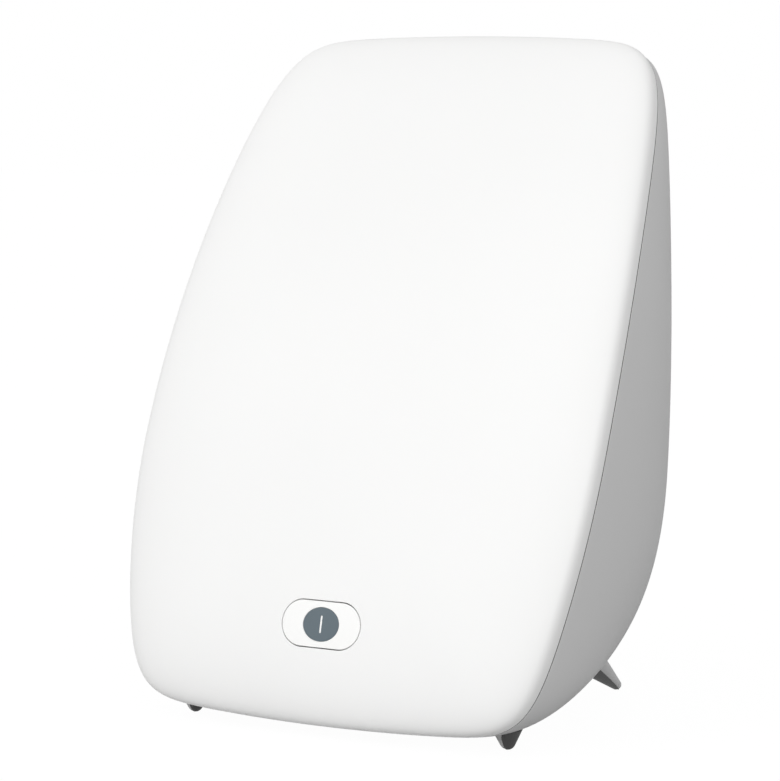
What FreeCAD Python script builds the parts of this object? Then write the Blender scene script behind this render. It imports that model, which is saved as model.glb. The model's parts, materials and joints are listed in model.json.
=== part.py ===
"""Light therapy lamp.

A tall lamp that leans back on four short feet. A translucent front cover and a deep rear housing
meet at one curved seam. A pill-shaped key in the cover's lower end works the switch behind it.
Two long twin-tube lamps stand side by side inside, on a metal chassis that also carries the
ballast, the terminal block and the leads.

X runs across the lamp, +Y to its back and +Z up. The floor is Z = 0, and the origin is the middle
of the lamp's footprint. Lengths are in millimetres and angles in degrees.

While the pieces are drawn, Y = 0 is at the seam's lowest edge. Three local frames are used:
  bent    (across, along, depth)  along follows the seam's side view, depth runs into the housing
  panel   (x, up, out)            the flat plane of the seam's chord, where the chassis lies
  key     (x, up, out)            square to the seam at the key's height
"""
import FreeCAD, Part
import math
import os
from FreeCAD import Placement, Rotation, Vector

# ---- The seam, where cover and housing meet ----
floor_gap = 5.6                 # from the floor to the seam's lowest edge
seam_width = 287.0              # across the widest place
seam_length = 409.0             # from bottom to top, measured along the seam's side view
seam_radius = 958.0             # of the seam's arc in side view
seam_lean = 13.3                # from vertical, at the bottom edge
widest_height = 158.7           # of the widest place, along the seam
taper_up = 26.0                 # narrower on each side at the top than at the widest place
taper_down = 24.0               # narrower on each side at the bottom
corner_power = 11.5             # superellipse power of the seam's outline, higher is squarer
bottom_bow = 5.8                # how far the bottom edge's ends rise above its middle

# ---- The front cover ----
cover_rim = 3.0                 # straight part of the cover's side wall
cover_crown = 18.5              # from the end of that wall to the crown of the face
cover_power = 3.2               # superellipse power of the rounding
cover_wall = 2.4
tab_width = 22.0                # screwed tabs under the bottom edge
tab_reach = 20.0
tab_x = 58.0
tab_thickness = 3.0
tab_root = 9.0
tab_screw_y = 12.0
tab_screw_bite = 8.0
hook_width = 14.0               # snap hooks round the edge
hook_thickness = 1.6
hook_barb = 1.4
hook_clearance = 0.7
hook_root = 14.0                # how far in front of the seam a hook's arm begins
side_hook_heights = (130.0, 270.0)
top_hook_x = 62.0

# ---- The rear housing ----
housing_depth = 192.7           # from the seam's lowest edge to the flat back
back_centre_height = 297.2      # of the flat part of the back, above the floor
back_half_width = 56.0
back_half_up = 81.0
back_half_down = 11.5
back_power = 8.0
side_power = 3.0                # superellipse powers of the rounding at the sides,
bottom_power = 1.9              # the bottom
top_power = 2.2                 # and the top
side_fall = 0.5                 # how steeply the housing runs down as it leaves the seam there
bottom_fall = 0.2
top_fall = -0.1
housing_wall = 2.8
lip_thickness = 1.6             # tongue that the cover's edge fits over
lip_front = 4.0
lip_back = 6.0
lip_clearance = 0.2

# ---- Vents in the back ----
vent_width = 3.0
vent_length = 30.0
vent_pitch = 9.0
vent_count = 11
upper_vent_height = 318.0
lower_vent_height = 132.0

# ---- The key ----
key_height = 53.3               # of its centre, along the seam
key_length = 48.6
key_width = 25.0
key_gap = 0.45                  # round the key, in the cover
key_travel = 1.5
key_skirt = 9.0                 # from the face to the key's flange
key_wall = 1.8
key_top = 3.4
key_flange = 1.7
flange_thickness = 1.5
collar_wall = 1.7
collar_clearance = 0.3
disc_width = 22.3               # the disc is slightly oval
disc_height = 18.4
disc_seat = 1.4                 # depth of the disc's seat below the face
bar_length = 10.0               # the raised on/off stroke that shows through the disc
bar_width = 1.3
stem_radius = 4.0
stem_length = 13.0

# ---- The switch ----
plunger_radius = 2.5
plunger_length = 8.0
plunger_clearance = 0.3
switch_size = 14.0
switch_depth = 12.0
switch_bore_depth = 8.0
plunger_out = 4.0               # how far the plunger stands out of the switch
carrier_width = 36.0
carrier_height = 24.0
carrier_post = 7.0
carrier_roof = 1.8
carrier_bite = 6.0              # how far its screws reach in
carrier_room = 2.5              # round it, in the reflector

# ---- Chassis and reflector, in the panel frame ----
chassis_half_width = 92.0
chassis_bottom = 26.0
chassis_top = 372.0
chassis_out = -6.8              # the plane that the reflector lies on
chassis_thickness = 1.2
chassis_corner = 14.0
reflector_thickness = 0.8
reflector_bottom = 27.0
reflector_top = 371.0
wing_run = 16.0
wing_rise = 18.0
chassis_screw_x = 83.0
chassis_screw_low = 60.0
chassis_screw_high = 320.0
post_radius = 4.5

# ---- Lamps and their holders ----
lamp_x = 50.0
tube_radius = 8.5
glass_wall = 1.0
tube_spacing = 20.5
tube_out = 7.0                  # of the tubes' axes, in the panel frame
bridge_radius = 5.0
bridge_drop = 14.0              # from the tubes' tips to the bridge between them
lamp_length = 284.0             # of the glass, from its base
base_width = 45.0
base_height = 20.0
base_depth = 22.0
holder_bottom = 28.0
holder_height = 18.0
holder_width = 48.0
holder_corner = 2.5
pin_radius = 1.2
pin_pitch = 8.0
pin_length = 7.0
pin_seat = 4.0
pin_clearance = 0.05
clip_height = 290.0
clip_length = 10.0
clip_width = 50.0
clip_out = 4.0

# ---- Ballast and terminal block, behind the chassis ----
ballast_width = 124.0
ballast_height = 68.0
ballast_depth = 30.0
ballast_bottom = 110.0
ballast_sheet = 0.8
lid_skirt = 8.0
lid_clearance = 0.1
board_thickness = 1.6
board_margin = 3.0
standoff_height = 4.2
standoff_radius = 2.5
ear_width = 12.0
coil_size = (22.0, 20.0, 17.0)
coil_pitch = 34.0
capacitor_radius = 6.0
capacitor_height = 18.0
capacitor_pitch = 24.0
terminal_length = 36.0
terminal_width = 16.0
terminal_depth = 14.0
terminal_x = -22.0
terminal_height = 200.0
terminal_bore = 2.2
terminal_screw = 1.8

# ---- Power inlet, in the back ----
inlet_height = 93.0
pocket_width = 40.0
pocket_height = 30.0
pocket_floor = 124.0            # depth of the pocket's floor behind the seam's lowest edge
pocket_wall = 2.4
flange_width = 32.0
flange_height = 22.0
inlet_flange = 2.0
inlet_width = 21.0
inlet_body_height = 13.6
inlet_depth = 18.0
socket_length = 16.6            # of the figure-eight socket
socket_height = 9.4
socket_depth = 12.0
contact_radius = 1.2
contact_spacing = 8.6
contact_length = 9.5
contact_tail = 4.0

# ---- Feet ----
front_foot_x = 99.5
front_foot_y = 22.1
rear_foot_x = 79.0
rear_foot_y = 196.4
front_foot_lean = 4.0           # of each foot's axis, from vertical
rear_foot_lean = 60.0
foot_tip_radius = 2.8
foot_flat = 0.5                 # how much of the rounded tip the floor plane takes off
foot_lift = 0.3                 # of the moulding above the floor, so that the pad takes the load
front_foot_root = 7.2           # radius where a foot meets the housing
rear_foot_root = 14.0
foot_bury = 14.0                # how far a foot's form runs into the housing before it is cut
pad_inset = 1.2
pad_proud = 0.4
pad_thickness = 1.8
spigot_radius = 3.0
spigot_root = 4.0               # how far a spigot begins inside its foot
spigot_reach = 3.4              # how far it stands above the housing's floor
spigot_clearance = 0.1
foot_screw_bite = 8.0
washer_radius = 5.0
washer_height = 1.2

# ---- Screws and leads ----
screw_radius = 1.45
screw_hole = 1.5
screw_head_radius = 2.8
screw_head_height = 2.0
screw_bite = 10.0
screw_pass = 1.7                # clearance hole in the sheets and tabs
screw_seat = 1.4                # depth of a screw head's seat in the housing's floor
lead_radius = 1.6
mains_lead_radius = 2.6
lead_room = 1.0                 # round a lead in the plates
lamp_lead_up = 37.0

# ---- Control net of the moulded skins ----
net_across = 56                 # points round each ring
net_rows = 9                    # rings over each rounding
corner_crowding = 0.68          # how much closer the points stand at the corners
rounding_crowding = 0.5
housing_rows = 11
seam_nearness = 1.6             # how much closer the housing's rings stand near the seam
net_step = 7.0                  # between the rings just in front of the seam
seam_lead = 60.0                # how far the skins run past the seam before they are cut

BIG = 600.0                     # larger than the lamp, for cutting solids

# ---- Worked out from the values above ----
lean = math.radians(seam_lean)
seam_top_angle = lean + seam_length / seam_radius
half_length = seam_length / 2
chassis_back = chassis_out - chassis_thickness
reflector_out = chassis_out + reflector_thickness
base_bottom = holder_bottom + holder_height
lamp_bottom = base_bottom + base_height
lip_outer = cover_wall + lip_clearance
lip_inner = lip_outer + lip_thickness


# ---- Shape functions ----
def superellipse(angle, power):
    """Point at a polar angle on |x|^power + |y|^power = 1."""
    c = math.cos(angle)
    s = math.sin(angle)
    radius = (abs(c) ** power + abs(s) ** power) ** (-1.0 / power)
    return radius * c, radius * s


def crowded(step, count, turn, crowding):
    """Angle of one of count steps over a turn, closer together near each 45 degree diagonal."""
    even = turn * step / count
    return even + crowding / 4 * math.sin(4 * even)


def seam_outline(angle):
    """The seam's outline, flattened: (across, along) at a polar angle round its widest place."""
    c, s = superellipse(angle, corner_power)
    if s > 0:
        along = widest_height + (seam_length - widest_height) * s
        taper = taper_up * ((along - widest_height) / (seam_length - widest_height)) ** 2
    else:
        along = widest_height * (1 + s) - bottom_bow * s * c * c
        taper = taper_down * ((along - widest_height) / widest_height) ** 2
    return (seam_width / 2 - taper) * c, along


def seam_inset(angle, inset):
    """A point a given distance inside the seam's outline."""
    tiny = 1e-3
    before = seam_outline(angle - tiny)
    after = seam_outline(angle + tiny)
    across, along = seam_outline(angle)
    run = after[0] - before[0]
    rise = after[1] - before[1]
    size = math.hypot(run, rise)
    return across - inset * rise / size, along + inset * run / size


def bent(across, along, depth):
    """A point given along the seam's arc and behind it."""
    angle = lean + along / seam_radius
    y = seam_radius * (math.cos(lean) - math.cos(angle)) + depth * math.cos(angle)
    z = floor_gap + seam_radius * (math.sin(angle) - math.sin(lean)) - depth * math.sin(angle)
    return Vector(across, y, z)


def inward(along):
    """Unit vector square to the seam, into the housing."""
    angle = lean + along / seam_radius
    return Vector(0, math.cos(angle), -math.sin(angle))


def ring_angles():
    """Polar angles of the control net, closer together at the outline's corners."""
    return [crowded(i, net_across, 2 * math.pi, corner_crowding) for i in range(net_across)]


def rounding_angles():
    """Polar angles over a rounding, from the side wall to the face."""
    return [crowded(i, net_rows, math.pi / 2, rounding_crowding) for i in range(net_rows + 1)]


def skin_solid(rings):
    """Solid inside a smooth skin over rings of control points, with flat ends."""
    degree = 3
    rows = len(rings)
    columns = len(rings[0])
    skin = Part.BSplineSurface()
    skin.buildFromPolesMultsKnots(
        rings,
        [degree + 1] + [1] * (rows - degree - 1) + [degree + 1],
        [1] * (columns + 1),
        list(range(rows - degree + 1)),
        list(range(columns + 1)),
        False,
        True,
        degree,
        degree,
    )
    side = skin.toShape()
    ends = [Part.Face(Part.Wire([e])) for e in side.Edges if e.isClosed() and not e.Degenerated]
    solid = Part.makeSolid(Part.makeShell([side] + ends))
    solid.fix(1e-6, 1e-6, 1e-3)
    return solid


def cover_skin(inset):
    """The cover's outer form, or that form taken in by a wall, running back past the seam."""
    angles = ring_angles()
    foot = bent(0, 0, 0)
    chord = (bent(0, seam_length, 0) - foot).normalize()
    square = Vector(0, chord.z, -chord.y)
    anchor = bent(0, half_length, seam_lead)
    far = []
    middle = []
    for angle in angles:
        across, along = seam_inset(angle, inset)
        start = bent(across, along, 0)
        reach = (anchor - start).dot(square) / inward(along).dot(square)
        far.append(start + inward(along) * reach)
        middle.append(start + inward(along) * (reach / 2))
    rings = [far, middle, [bent(*seam_inset(angle, inset), 0) for angle in angles]]
    for turn in rounding_angles()[:-1]:
        share, rise = superellipse(turn, cover_power)
        depth = -(cover_rim + (cover_crown - inset) * rise)
        ring = []
        for angle in angles:
            across, along = seam_inset(angle, inset)
            ring.append(bent(across * share, widest_height + (along - widest_height) * share, depth))
        rings.append(ring)
    crown = bent(0, widest_height, -(cover_rim + cover_crown - inset))
    rings.append([crown] * len(angles))
    return skin_solid(rings)


def round_the_outline(angle, at_side, at_bottom, at_top):
    """A value that passes smoothly from the sides to the bottom and the top of the outline."""
    rise = superellipse(angle, corner_power)[1]
    end = at_top if rise > 0 else at_bottom
    return at_side + (end - at_side) * rise * rise


def housing_skin(inset):
    """The housing's outer form, or that form taken in by a wall, running forward past the seam."""
    angles = ring_angles()
    starts = [bent(*seam_inset(angle, inset), 0) for angle in angles]
    falls = [round_the_outline(angle, side_fall, bottom_fall, top_fall) for angle in angles]
    rings = []
    for nearness in (None, 2 * net_step, net_step):
        ring = []
        for start, fall in zip(starts, falls):
            forward = nearness or start.y + seam_lead
            ring.append(Vector(start.x, start.y - forward, start.z + fall * forward))
        rings.append(ring)
    turns = [math.pi / 2 * (i / housing_rows) ** seam_nearness for i in range(housing_rows + 1)]
    for turn in turns:
        ring = []
        for angle, start, fall in zip(angles, starts, falls):
            c, s = superellipse(angle, back_power)
            back_x = (back_half_width - inset) * c
            back_z = back_centre_height + ((back_half_up if s > 0 else back_half_down) - inset) * s
            depth = housing_depth - inset - start.y
            power = round_the_outline(angle, side_power, bottom_power, top_power)
            share, reach = superellipse(turn, power)
            if turn is turns[-1]:
                share = 0
            ring.append(Vector(
                back_x + (start.x - back_x) * share,
                start.y + depth * reach,
                back_z + (start.z - back_z) * share - depth * fall * (share + reach - 1),
            ))
        rings.append(ring)
    return skin_solid(rings)


def seam_cylinder(offset=0.0):
    """Everything behind the seam's curved surface, or behind one moved forward by offset."""
    centre = Vector(-BIG / 2, seam_radius * math.cos(lean), floor_gap - seam_radius * math.sin(lean))
    return Part.makeCylinder(seam_radius + offset, BIG, centre, Vector(1, 0, 0))


# ---- Frames ----
chord_vector = bent(0, seam_length, 0) - bent(0, 0, 0)
chord_lean = math.degrees(math.atan2(chord_vector.y, chord_vector.z))
panel = Placement(bent(0, 0, 0), Rotation(Vector(1, 0, 0), 90 - chord_lean))
key_lean = math.degrees(lean + key_height / seam_radius)
key_frame = Placement(bent(0, key_height, 0), Rotation(Vector(1, 0, 0), 90 - key_lean))
face_share = (widest_height - key_height) / widest_height
face_rise = (1 - face_share ** cover_power) ** (1 / cover_power)
key_face = cover_rim + cover_crown * face_rise      # the face's height over the seam at the key


def placed(shape, frame):
    """A shape drawn in a local frame, moved to its place in the lamp."""
    moved = shape.copy()
    moved.Placement = frame.multiply(moved.Placement)
    return moved


def box(x0, x1, y0, y1, z0, z1):
    """A box between two values on each axis."""
    return Part.makeBox(x1 - x0, y1 - y0, z1 - z0, Vector(x0, y0, z0))


def rod(radius, x, y, z0, z1):
    """A cylinder along Z between two heights."""
    return Part.makeCylinder(radius, z1 - z0, Vector(x, y, z0))


def rounded_box(x0, x1, y0, y1, z0, z1, corner):
    """A box with the edges along Z rounded."""
    block = box(x0, x1, y0, y1, z0, z1)
    upright = [e for e in block.Edges if abs(e.tangentAt(e.FirstParameter).z) > 0.9]
    return block.makeFillet(corner, upright)


def pill(length, width, z0, z1):
    """A stadium-shaped prism about the origin, long across X."""
    radius = width / 2
    reach = length / 2 - radius
    body = box(-reach, reach, -radius, radius, z0, z1)
    for side in (-1, 1):
        body = body.fuse(rod(radius, side * reach, 0, z0, z1))
    return body.removeSplitter()


def oval(width, height, z0, z1):
    """An elliptical prism about the origin, wide across X."""
    edge = Part.Ellipse(Vector(0, 0, z0), width / 2, height / 2).toShape()
    return Part.Face(Part.Wire([edge])).extrude(Vector(0, 0, z1 - z0))


def screw(x, y, head, tip):
    """A pan-head screw along Z with its head's underside at head and its tip at tip."""
    way = 1 if head > tip else -1
    top = head + way * screw_head_height
    shank = rod(screw_radius, x, y, min(head, tip), max(head, tip))
    cap = rod(screw_head_radius, x, y, min(head, top), max(head, top))
    return shank.fuse(cap).removeSplitter()


def lead(points, radius):
    """A round lead along straight runs joined by arcs as large as the runs allow."""
    edges = []
    last = points[0]
    for before, corner, after in zip(points, points[1:], points[2:]):
        back = (before - corner).normalize()
        ahead = (after - corner).normalize()
        run = 0.45 * min((before - corner).Length, (after - corner).Length)
        start = corner + back * run
        end = corner + ahead * run
        turn = math.pi - back.getAngle(ahead)
        bend = run / math.tan(turn / 2)
        halfway = (back + ahead).normalize()
        middle = corner + halfway * (bend / math.cos(turn / 2) - bend)
        edges.append(Part.LineSegment(last, start).toShape())
        edges.append(Part.Arc(start, middle, end).toShape())
        last = end
    edges.append(Part.LineSegment(last, points[-1]).toShape())
    path = Part.Wire(edges)
    section = Part.Wire([Part.Circle(points[0], points[1] - points[0], radius).toShape()])
    return path.makePipeShell([section], True, False)


def on_panel(x, up, out):
    """A point of the panel frame in the lamp's frame."""
    return panel.multVec(Vector(x, up, out))


parts = {}

# ---- Forms shared by the shells ----
cover_outer = cover_skin(0)
cover_inner = cover_skin(cover_wall)
housing_outer = housing_skin(0)
housing_inner = housing_skin(housing_wall)
behind_seam = seam_cylinder()
floor_seat = floor_gap + screw_seat
pilot_depth = screw_bite + 1


# ---- Feet ----
def reach_along(frame, solid):
    """How far up a foot's axis a solid begins."""
    axis = placed(Part.makeLine(Vector(0, 0, 0), Vector(0, 0, BIG / 4)), frame)
    inside = axis.common(solid)
    tip = frame.multVec(Vector(0, 0, 0))
    return min(v.Point.distanceToPoint(tip) for v in inside.Vertexes)


def tongue(length, root_radius, trim, shift):
    """A round-tipped cone that widens up to its root, trimmed all round and shifted."""
    flare = (root_radius - foot_tip_radius) / length
    top = length + foot_bury
    tip = foot_tip_radius - trim
    start = Vector(0, -shift, -shift)
    cone = Part.makeCone(tip, tip + flare * top, top, start)
    return Part.makeSphere(tip, start).fuse(cone)


def make_foot(x, y, tilt, root_radius):
    """A moulded foot, its rubber pad, its screw, and the hole that its spigot needs."""
    frame = Placement(Vector(x, y, foot_tip_radius - foot_flat), Rotation(Vector(1, 0, 0), tilt))
    outside = reach_along(frame, housing_outer)
    inside = reach_along(frame, housing_inner)
    below_housing = box(-BIG, BIG, -BIG, BIG, 0, BIG).cut(housing_outer)
    clear_of_floor = box(-BIG, BIG, -BIG, BIG, foot_lift, BIG)
    spigot_top = inside + spigot_reach
    spigot = placed(rod(spigot_radius, 0, 0, outside - spigot_root, spigot_top), frame)
    shift = pad_inset + pad_proud
    rubber = tongue(outside, root_radius, pad_inset, shift)
    rubber = rubber.cut(tongue(outside, root_radius, pad_inset, shift - pad_thickness))
    rubber = placed(rubber, frame).cut(spigot)
    pad = rubber.common(below_housing)
    hole = placed(rod(screw_hole, 0, 0, spigot_top - foot_screw_bite - 1, spigot_top), frame)
    foot = placed(tongue(outside, root_radius, 0, 0), frame).cut(rubber)
    foot = foot.common(below_housing).common(clear_of_floor).fuse(spigot).cut(hole)
    head = spigot_top + washer_height
    washer = rod(washer_radius, 0, 0, spigot_top, head)
    fixing = placed(washer.fuse(screw(0, 0, head, spigot_top - foot_screw_bite)), frame)
    opening = placed(rod(spigot_radius + spigot_clearance, 0, 0, 0, spigot_top), frame)
    return foot, pad, fixing, opening


foot_places = {
    "front_left": (-front_foot_x, front_foot_y, front_foot_lean, front_foot_root),
    "front_right": (front_foot_x, front_foot_y, front_foot_lean, front_foot_root),
    "rear_left": (-rear_foot_x, rear_foot_y, rear_foot_lean, rear_foot_root),
    "rear_right": (rear_foot_x, rear_foot_y, rear_foot_lean, rear_foot_root),
}
foot_screws = []
foot_openings = []
for place, sizes in foot_places.items():
    foot, pad, fixing, opening = make_foot(*sizes)
    parts["foot_" + place] = foot
    parts["pad_" + place] = pad
    foot_screws.append(fixing)
    foot_openings.append(opening)
parts["foot_screws"] = Part.Compound(foot_screws)


# ---- Front cover ----
def tab_block(side, grow=0.0):
    """A tab that reaches back from the cover's bottom edge, over the housing's floor."""
    x = side * tab_x
    half = tab_width / 2 + grow
    top = floor_gap + housing_wall + tab_thickness + grow
    return box(x - half, x + half, -tab_root, tab_reach, floor_gap, top)


def make_cover():
    """The translucent front cover with its key collar, screwed tabs and snap hooks."""
    cover = cover_outer.cut(cover_inner).cut(behind_seam)
    gap = 2 * key_gap
    wall = gap + 2 * collar_wall
    low = key_face - key_skirt + collar_clearance
    high = key_face + cover_crown
    collar = placed(pill(key_length + wall, key_width + wall, low, high), key_frame)
    window = placed(pill(key_length + gap, key_width + gap, 0, high), key_frame)
    cover = cover.fuse(collar.common(cover_outer)).cut(window)
    room = cover_outer.cut(behind_seam).fuse(housing_skin(housing_wall + lip_clearance))
    for side in (-1, 1):
        pilot = rod(screw_hole, side * tab_x, tab_screw_y, 0, BIG / 10)
        cover = cover.fuse(tab_block(side).common(room).cut(pilot))
    for block in hook_blocks():
        cover = cover.fuse(block.common(cover_outer))
    return cover


def hook_frames():
    """Frames of the snap hooks: X points out of the lamp's edge, Z out of its face."""
    frames = []
    for along in side_hook_heights:
        angle = math.degrees(lean + along / seam_radius)
        edge = edge_across(along)
        upright = Rotation(Vector(1, 0, 0), 90 - angle)
        frames.append(Placement(bent(edge, along, 0), upright))
        flipped = upright.multiply(Rotation(Vector(0, 0, 1), 180))
        frames.append(Placement(bent(-edge, along, 0), flipped))
    top = Rotation(Vector(1, 0, 0), 90 - math.degrees(seam_top_angle))
    for side in (-1, 1):
        turned = top.multiply(Rotation(Vector(0, 0, 1), 90))
        frames.append(Placement(bent(side * top_hook_x, seam_length, 0), turned))
    return frames


def edge_across(along):
    """Half the seam's width at a height along it, on its long sides."""
    reach = seam_length - widest_height if along > widest_height else widest_height
    taper = taper_up if along > widest_height else taper_down
    share = abs(along - widest_height) / reach
    straight = (1 - share ** corner_power) ** (1 / corner_power)
    return (seam_width / 2 - taper * share ** 2) * straight


def hook_blocks():
    """The snap hooks: a springy arm and a barb each."""
    near = -(lip_inner + hook_clearance)
    far = near - hook_thickness
    catch = -(lip_back + lip_clearance)
    tip = catch - 2 * hook_barb
    half = hook_width / 2
    blocks = []
    for frame in hook_frames():
        arm = box(far, near, -half, half, tip, hook_root)
        barb = Part.Face(Part.makePolygon([
            Vector(near, -half, tip),
            Vector(near + hook_barb, -half, catch),
            Vector(near, -half, catch),
            Vector(near, -half, tip),
        ])).extrude(Vector(0, hook_width, 0))
        blocks.append(placed(arm.fuse(barb), frame))
    return blocks


parts["front_cover"] = make_cover()


# ---- Rear housing ----
def vent_slots():
    """Two rows of upright slots through the back."""
    slots = []
    for height in (upper_vent_height, lower_vent_height):
        for i in range(vent_count):
            x = (i - (vent_count - 1) / 2) * vent_pitch
            half = vent_width / 2
            low = height - vent_length / 2
            slots.append(rounded_slot(x, low, low + vent_length, half))
    return slots


def rounded_slot(x, low, high, half):
    """An upright slot with round ends, cut from behind through the back wall."""
    front = housing_depth / 2
    deep = housing_depth
    slot = box(x - half, x + half, front, front + deep, low + half, high - half)
    for end in (low + half, high - half):
        slot = slot.fuse(Part.makeCylinder(half, deep, Vector(x, front, end), Vector(0, 1, 0)))
    return slot.removeSplitter()


def make_housing():
    """The rear housing with its lip, chassis posts, vents, inlet pocket and holes."""
    housing = housing_outer.cut(housing_inner).common(behind_seam)
    lip = cover_skin(lip_outer).cut(cover_skin(lip_inner))
    lip = lip.common(seam_cylinder(lip_front)).cut(seam_cylinder(-lip_back))
    for side in (-1, 1):
        lip = lip.cut(tab_block(side, lip_clearance * 2))
    housing = housing.fuse(lip.common(housing_outer))
    for x, up in chassis_screw_places():
        post = placed(rod(post_radius, x, up, -BIG / 2, chassis_back), panel)
        pilot = placed(rod(screw_hole, x, up, reflector_out - pilot_depth, 0), panel)
        housing = housing.fuse(post.common(housing_outer)).cut(pilot)
    half_width = pocket_width / 2
    half_height = pocket_height / 2
    low = inlet_height - half_height
    high = inlet_height + half_height
    wall = pocket_wall
    pocket = box(-half_width, half_width, pocket_floor, BIG, low, high)
    surround = box(
        -half_width - wall, half_width + wall, pocket_floor - wall, BIG, low - wall, high + wall
    )
    housing = housing.fuse(surround.common(housing_outer)).cut(pocket)
    body_x = inlet_width / 2
    body_z = inlet_body_height / 2
    housing = housing.cut(box(
        -body_x, body_x, 0, pocket_floor, inlet_height - body_z, inlet_height + body_z
    ))
    for slot in vent_slots() + foot_openings:
        housing = housing.cut(slot)
    for side in (-1, 1):
        seat = rod(screw_head_radius + key_gap, side * tab_x, tab_screw_y, 0, floor_seat)
        hole = rod(screw_pass, side * tab_x, tab_screw_y, 0, floor_gap + housing_wall * 2)
        housing = housing.cut(seat.fuse(hole))
    return housing


def chassis_screw_places():
    """Places of the four screws that hold the chassis on the housing's posts."""
    heights = (chassis_screw_low, chassis_screw_high)
    return [(side * chassis_screw_x, up) for side in (-1, 1) for up in heights]


parts["rear_housing"] = make_housing()
parts["cover_screws"] = Part.Compound([
    screw(side * tab_x, tab_screw_y, floor_seat, floor_seat + tab_screw_bite) for side in (-1, 1)
])


# ---- Key and switch, in the key frame ----
stem_end = key_face - stem_length
switch_top = stem_end - plunger_out
switch_bottom = switch_top - switch_depth
seam_point = panel.inverse().multVec(key_frame.multVec(Vector(0, 0, 0)))
carrier_tilt = math.radians(chord_lean - key_lean)
carrier_seat = (seam_point.z - chassis_out) / math.cos(carrier_tilt)
carrier_foot = panel.inverse().multVec(key_frame.multVec(Vector(0, 0, -carrier_seat)))
carrier_up = carrier_foot.y
carrier_screw_x = (carrier_width - carrier_post) / 2


def make_key():
    """The pill-shaped key, flush with the cover, and the dark disc let into it."""
    bottom = key_face - key_skirt
    high = key_face + cover_crown
    blank = pill(key_length, key_width, bottom, high)
    hollow_length = key_length - 2 * key_wall
    hollow_width = key_width - 2 * key_wall
    hollow = pill(hollow_length, hollow_width, bottom - flange_thickness, key_face - key_top)
    rim = pill(key_length + 2 * key_flange, key_width + 2 * key_flange, bottom - flange_thickness, bottom)
    stem = rod(stem_radius, 0, 0, stem_end, key_face - key_top)
    bar = box(-bar_width / 2, bar_width / 2, -bar_length / 2, bar_length / 2, bottom, high)
    disc = oval(disc_width, disc_height, key_face - disc_seat, high).cut(bar)
    key = placed(blank.fuse(rim).cut(hollow).fuse(stem).cut(disc), key_frame)
    return key.common(cover_outer), placed(disc, key_frame).common(cover_outer)


def make_switch():
    """The push switch with a bore for its plunger."""
    half = switch_size / 2
    body = rounded_box(-half, half, -half, half, switch_bottom, switch_top, 1.0)
    bore = rod(plunger_radius + plunger_clearance, 0, 0, switch_top - switch_bore_depth, switch_top)
    return placed(body.cut(bore), key_frame)


def make_carrier():
    """The bridge that holds the switch over the chassis."""
    half = carrier_width / 2
    side = carrier_height / 2
    block = box(-half, half, -side, side, -BIG / 4, switch_bottom)
    arch = box(
        carrier_post - half, half - carrier_post, -side, side, -BIG / 4, switch_bottom - carrier_roof
    )
    below = placed(box(-BIG, BIG, -BIG, BIG, -BIG, chassis_out), panel)
    carrier = placed(block.cut(arch), key_frame).cut(below)
    for x in (-carrier_screw_x, carrier_screw_x):
        pilot = rod(screw_hole, x, carrier_up, chassis_out, chassis_out + carrier_bite)
        carrier = carrier.cut(placed(pilot, panel))
    return carrier


parts["power_key"], parts["key_disc"] = make_key()
plunger = rod(plunger_radius, 0, 0, stem_end - plunger_length, stem_end)
parts["switch_plunger"] = placed(plunger, key_frame)
parts["switch_body"] = make_switch()
parts["switch_carrier"] = make_carrier()
parts["carrier_screws"] = Part.Compound([
    placed(screw(x, carrier_up, chassis_back, chassis_out + carrier_bite - 1), panel)
    for x in (-carrier_screw_x, carrier_screw_x)
])


# ---- Chassis and reflector ----
ballast_screw_x = ballast_width / 2 + ear_width / 2
ballast_centre = ballast_bottom + ballast_height / 2


def lead_holes(low, high):
    """Holes that the lamp leads and the switch lead pass through."""
    holes = [rod(lead_radius + lead_room, side * lamp_x, lamp_lead_up, low, high) for side in (-1, 1)]
    holes.append(rod(lead_radius + lead_room, 0, carrier_up, low, high))
    return holes


def make_chassis():
    """The flat metal plate that carries everything inside."""
    plate = rounded_box(
        -chassis_half_width, chassis_half_width, chassis_bottom, chassis_top,
        chassis_back, chassis_out, chassis_corner,
    )
    holes = [rod(screw_pass, x, up, chassis_back, chassis_out) for x, up in chassis_screw_places()]
    for side in (-1, 1):
        holes.append(rod(screw_pass, side * carrier_screw_x, carrier_up, chassis_back, chassis_out))
        holes.append(rod(screw_hole, side * ballast_screw_x, ballast_centre, chassis_back, chassis_out))
    for hole in holes + lead_holes(chassis_back, chassis_out):
        plate = plate.cut(hole)
    return placed(plate, panel)


def make_reflector():
    """The white sheet behind the lamps, with wings bent up along both sides."""
    low = chassis_out
    high = reflector_out
    tip = low + wing_rise
    across = chassis_half_width
    wide = across + wing_run
    outline = [
        (-wide, tip), (-across, low), (across, low), (wide, tip),
        (wide, tip + reflector_thickness), (across, high), (-across, high),
        (-wide, tip + reflector_thickness), (-wide, tip),
    ]
    section = Part.Face(Part.makePolygon([Vector(x, reflector_bottom, z) for x, z in outline]))
    sheet = section.extrude(Vector(0, reflector_top - reflector_bottom, 0))
    half = carrier_width / 2 + lead_room
    side = carrier_height / 2 + carrier_room
    sheet = sheet.cut(box(-half, half, carrier_up - side, carrier_up + side, low - 1, high + 1))
    for x, up in chassis_screw_places():
        sheet = sheet.cut(rod(screw_pass, x, up, low, high))
    for hole in lead_holes(low, high):
        sheet = sheet.cut(hole)
    return placed(sheet, panel)


parts["chassis_plate"] = make_chassis()
parts["reflector"] = make_reflector()
parts["chassis_screws"] = Part.Compound([
    placed(screw(x, up, reflector_out, reflector_out - screw_bite), panel)
    for x, up in chassis_screw_places()
])


# ---- Lamps ----
def along_panel(radius, x, out, start, end):
    """A cylinder up the panel between two heights."""
    return Part.makeCylinder(radius, end - start, Vector(x, start, out), Vector(0, 1, 0))


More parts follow.
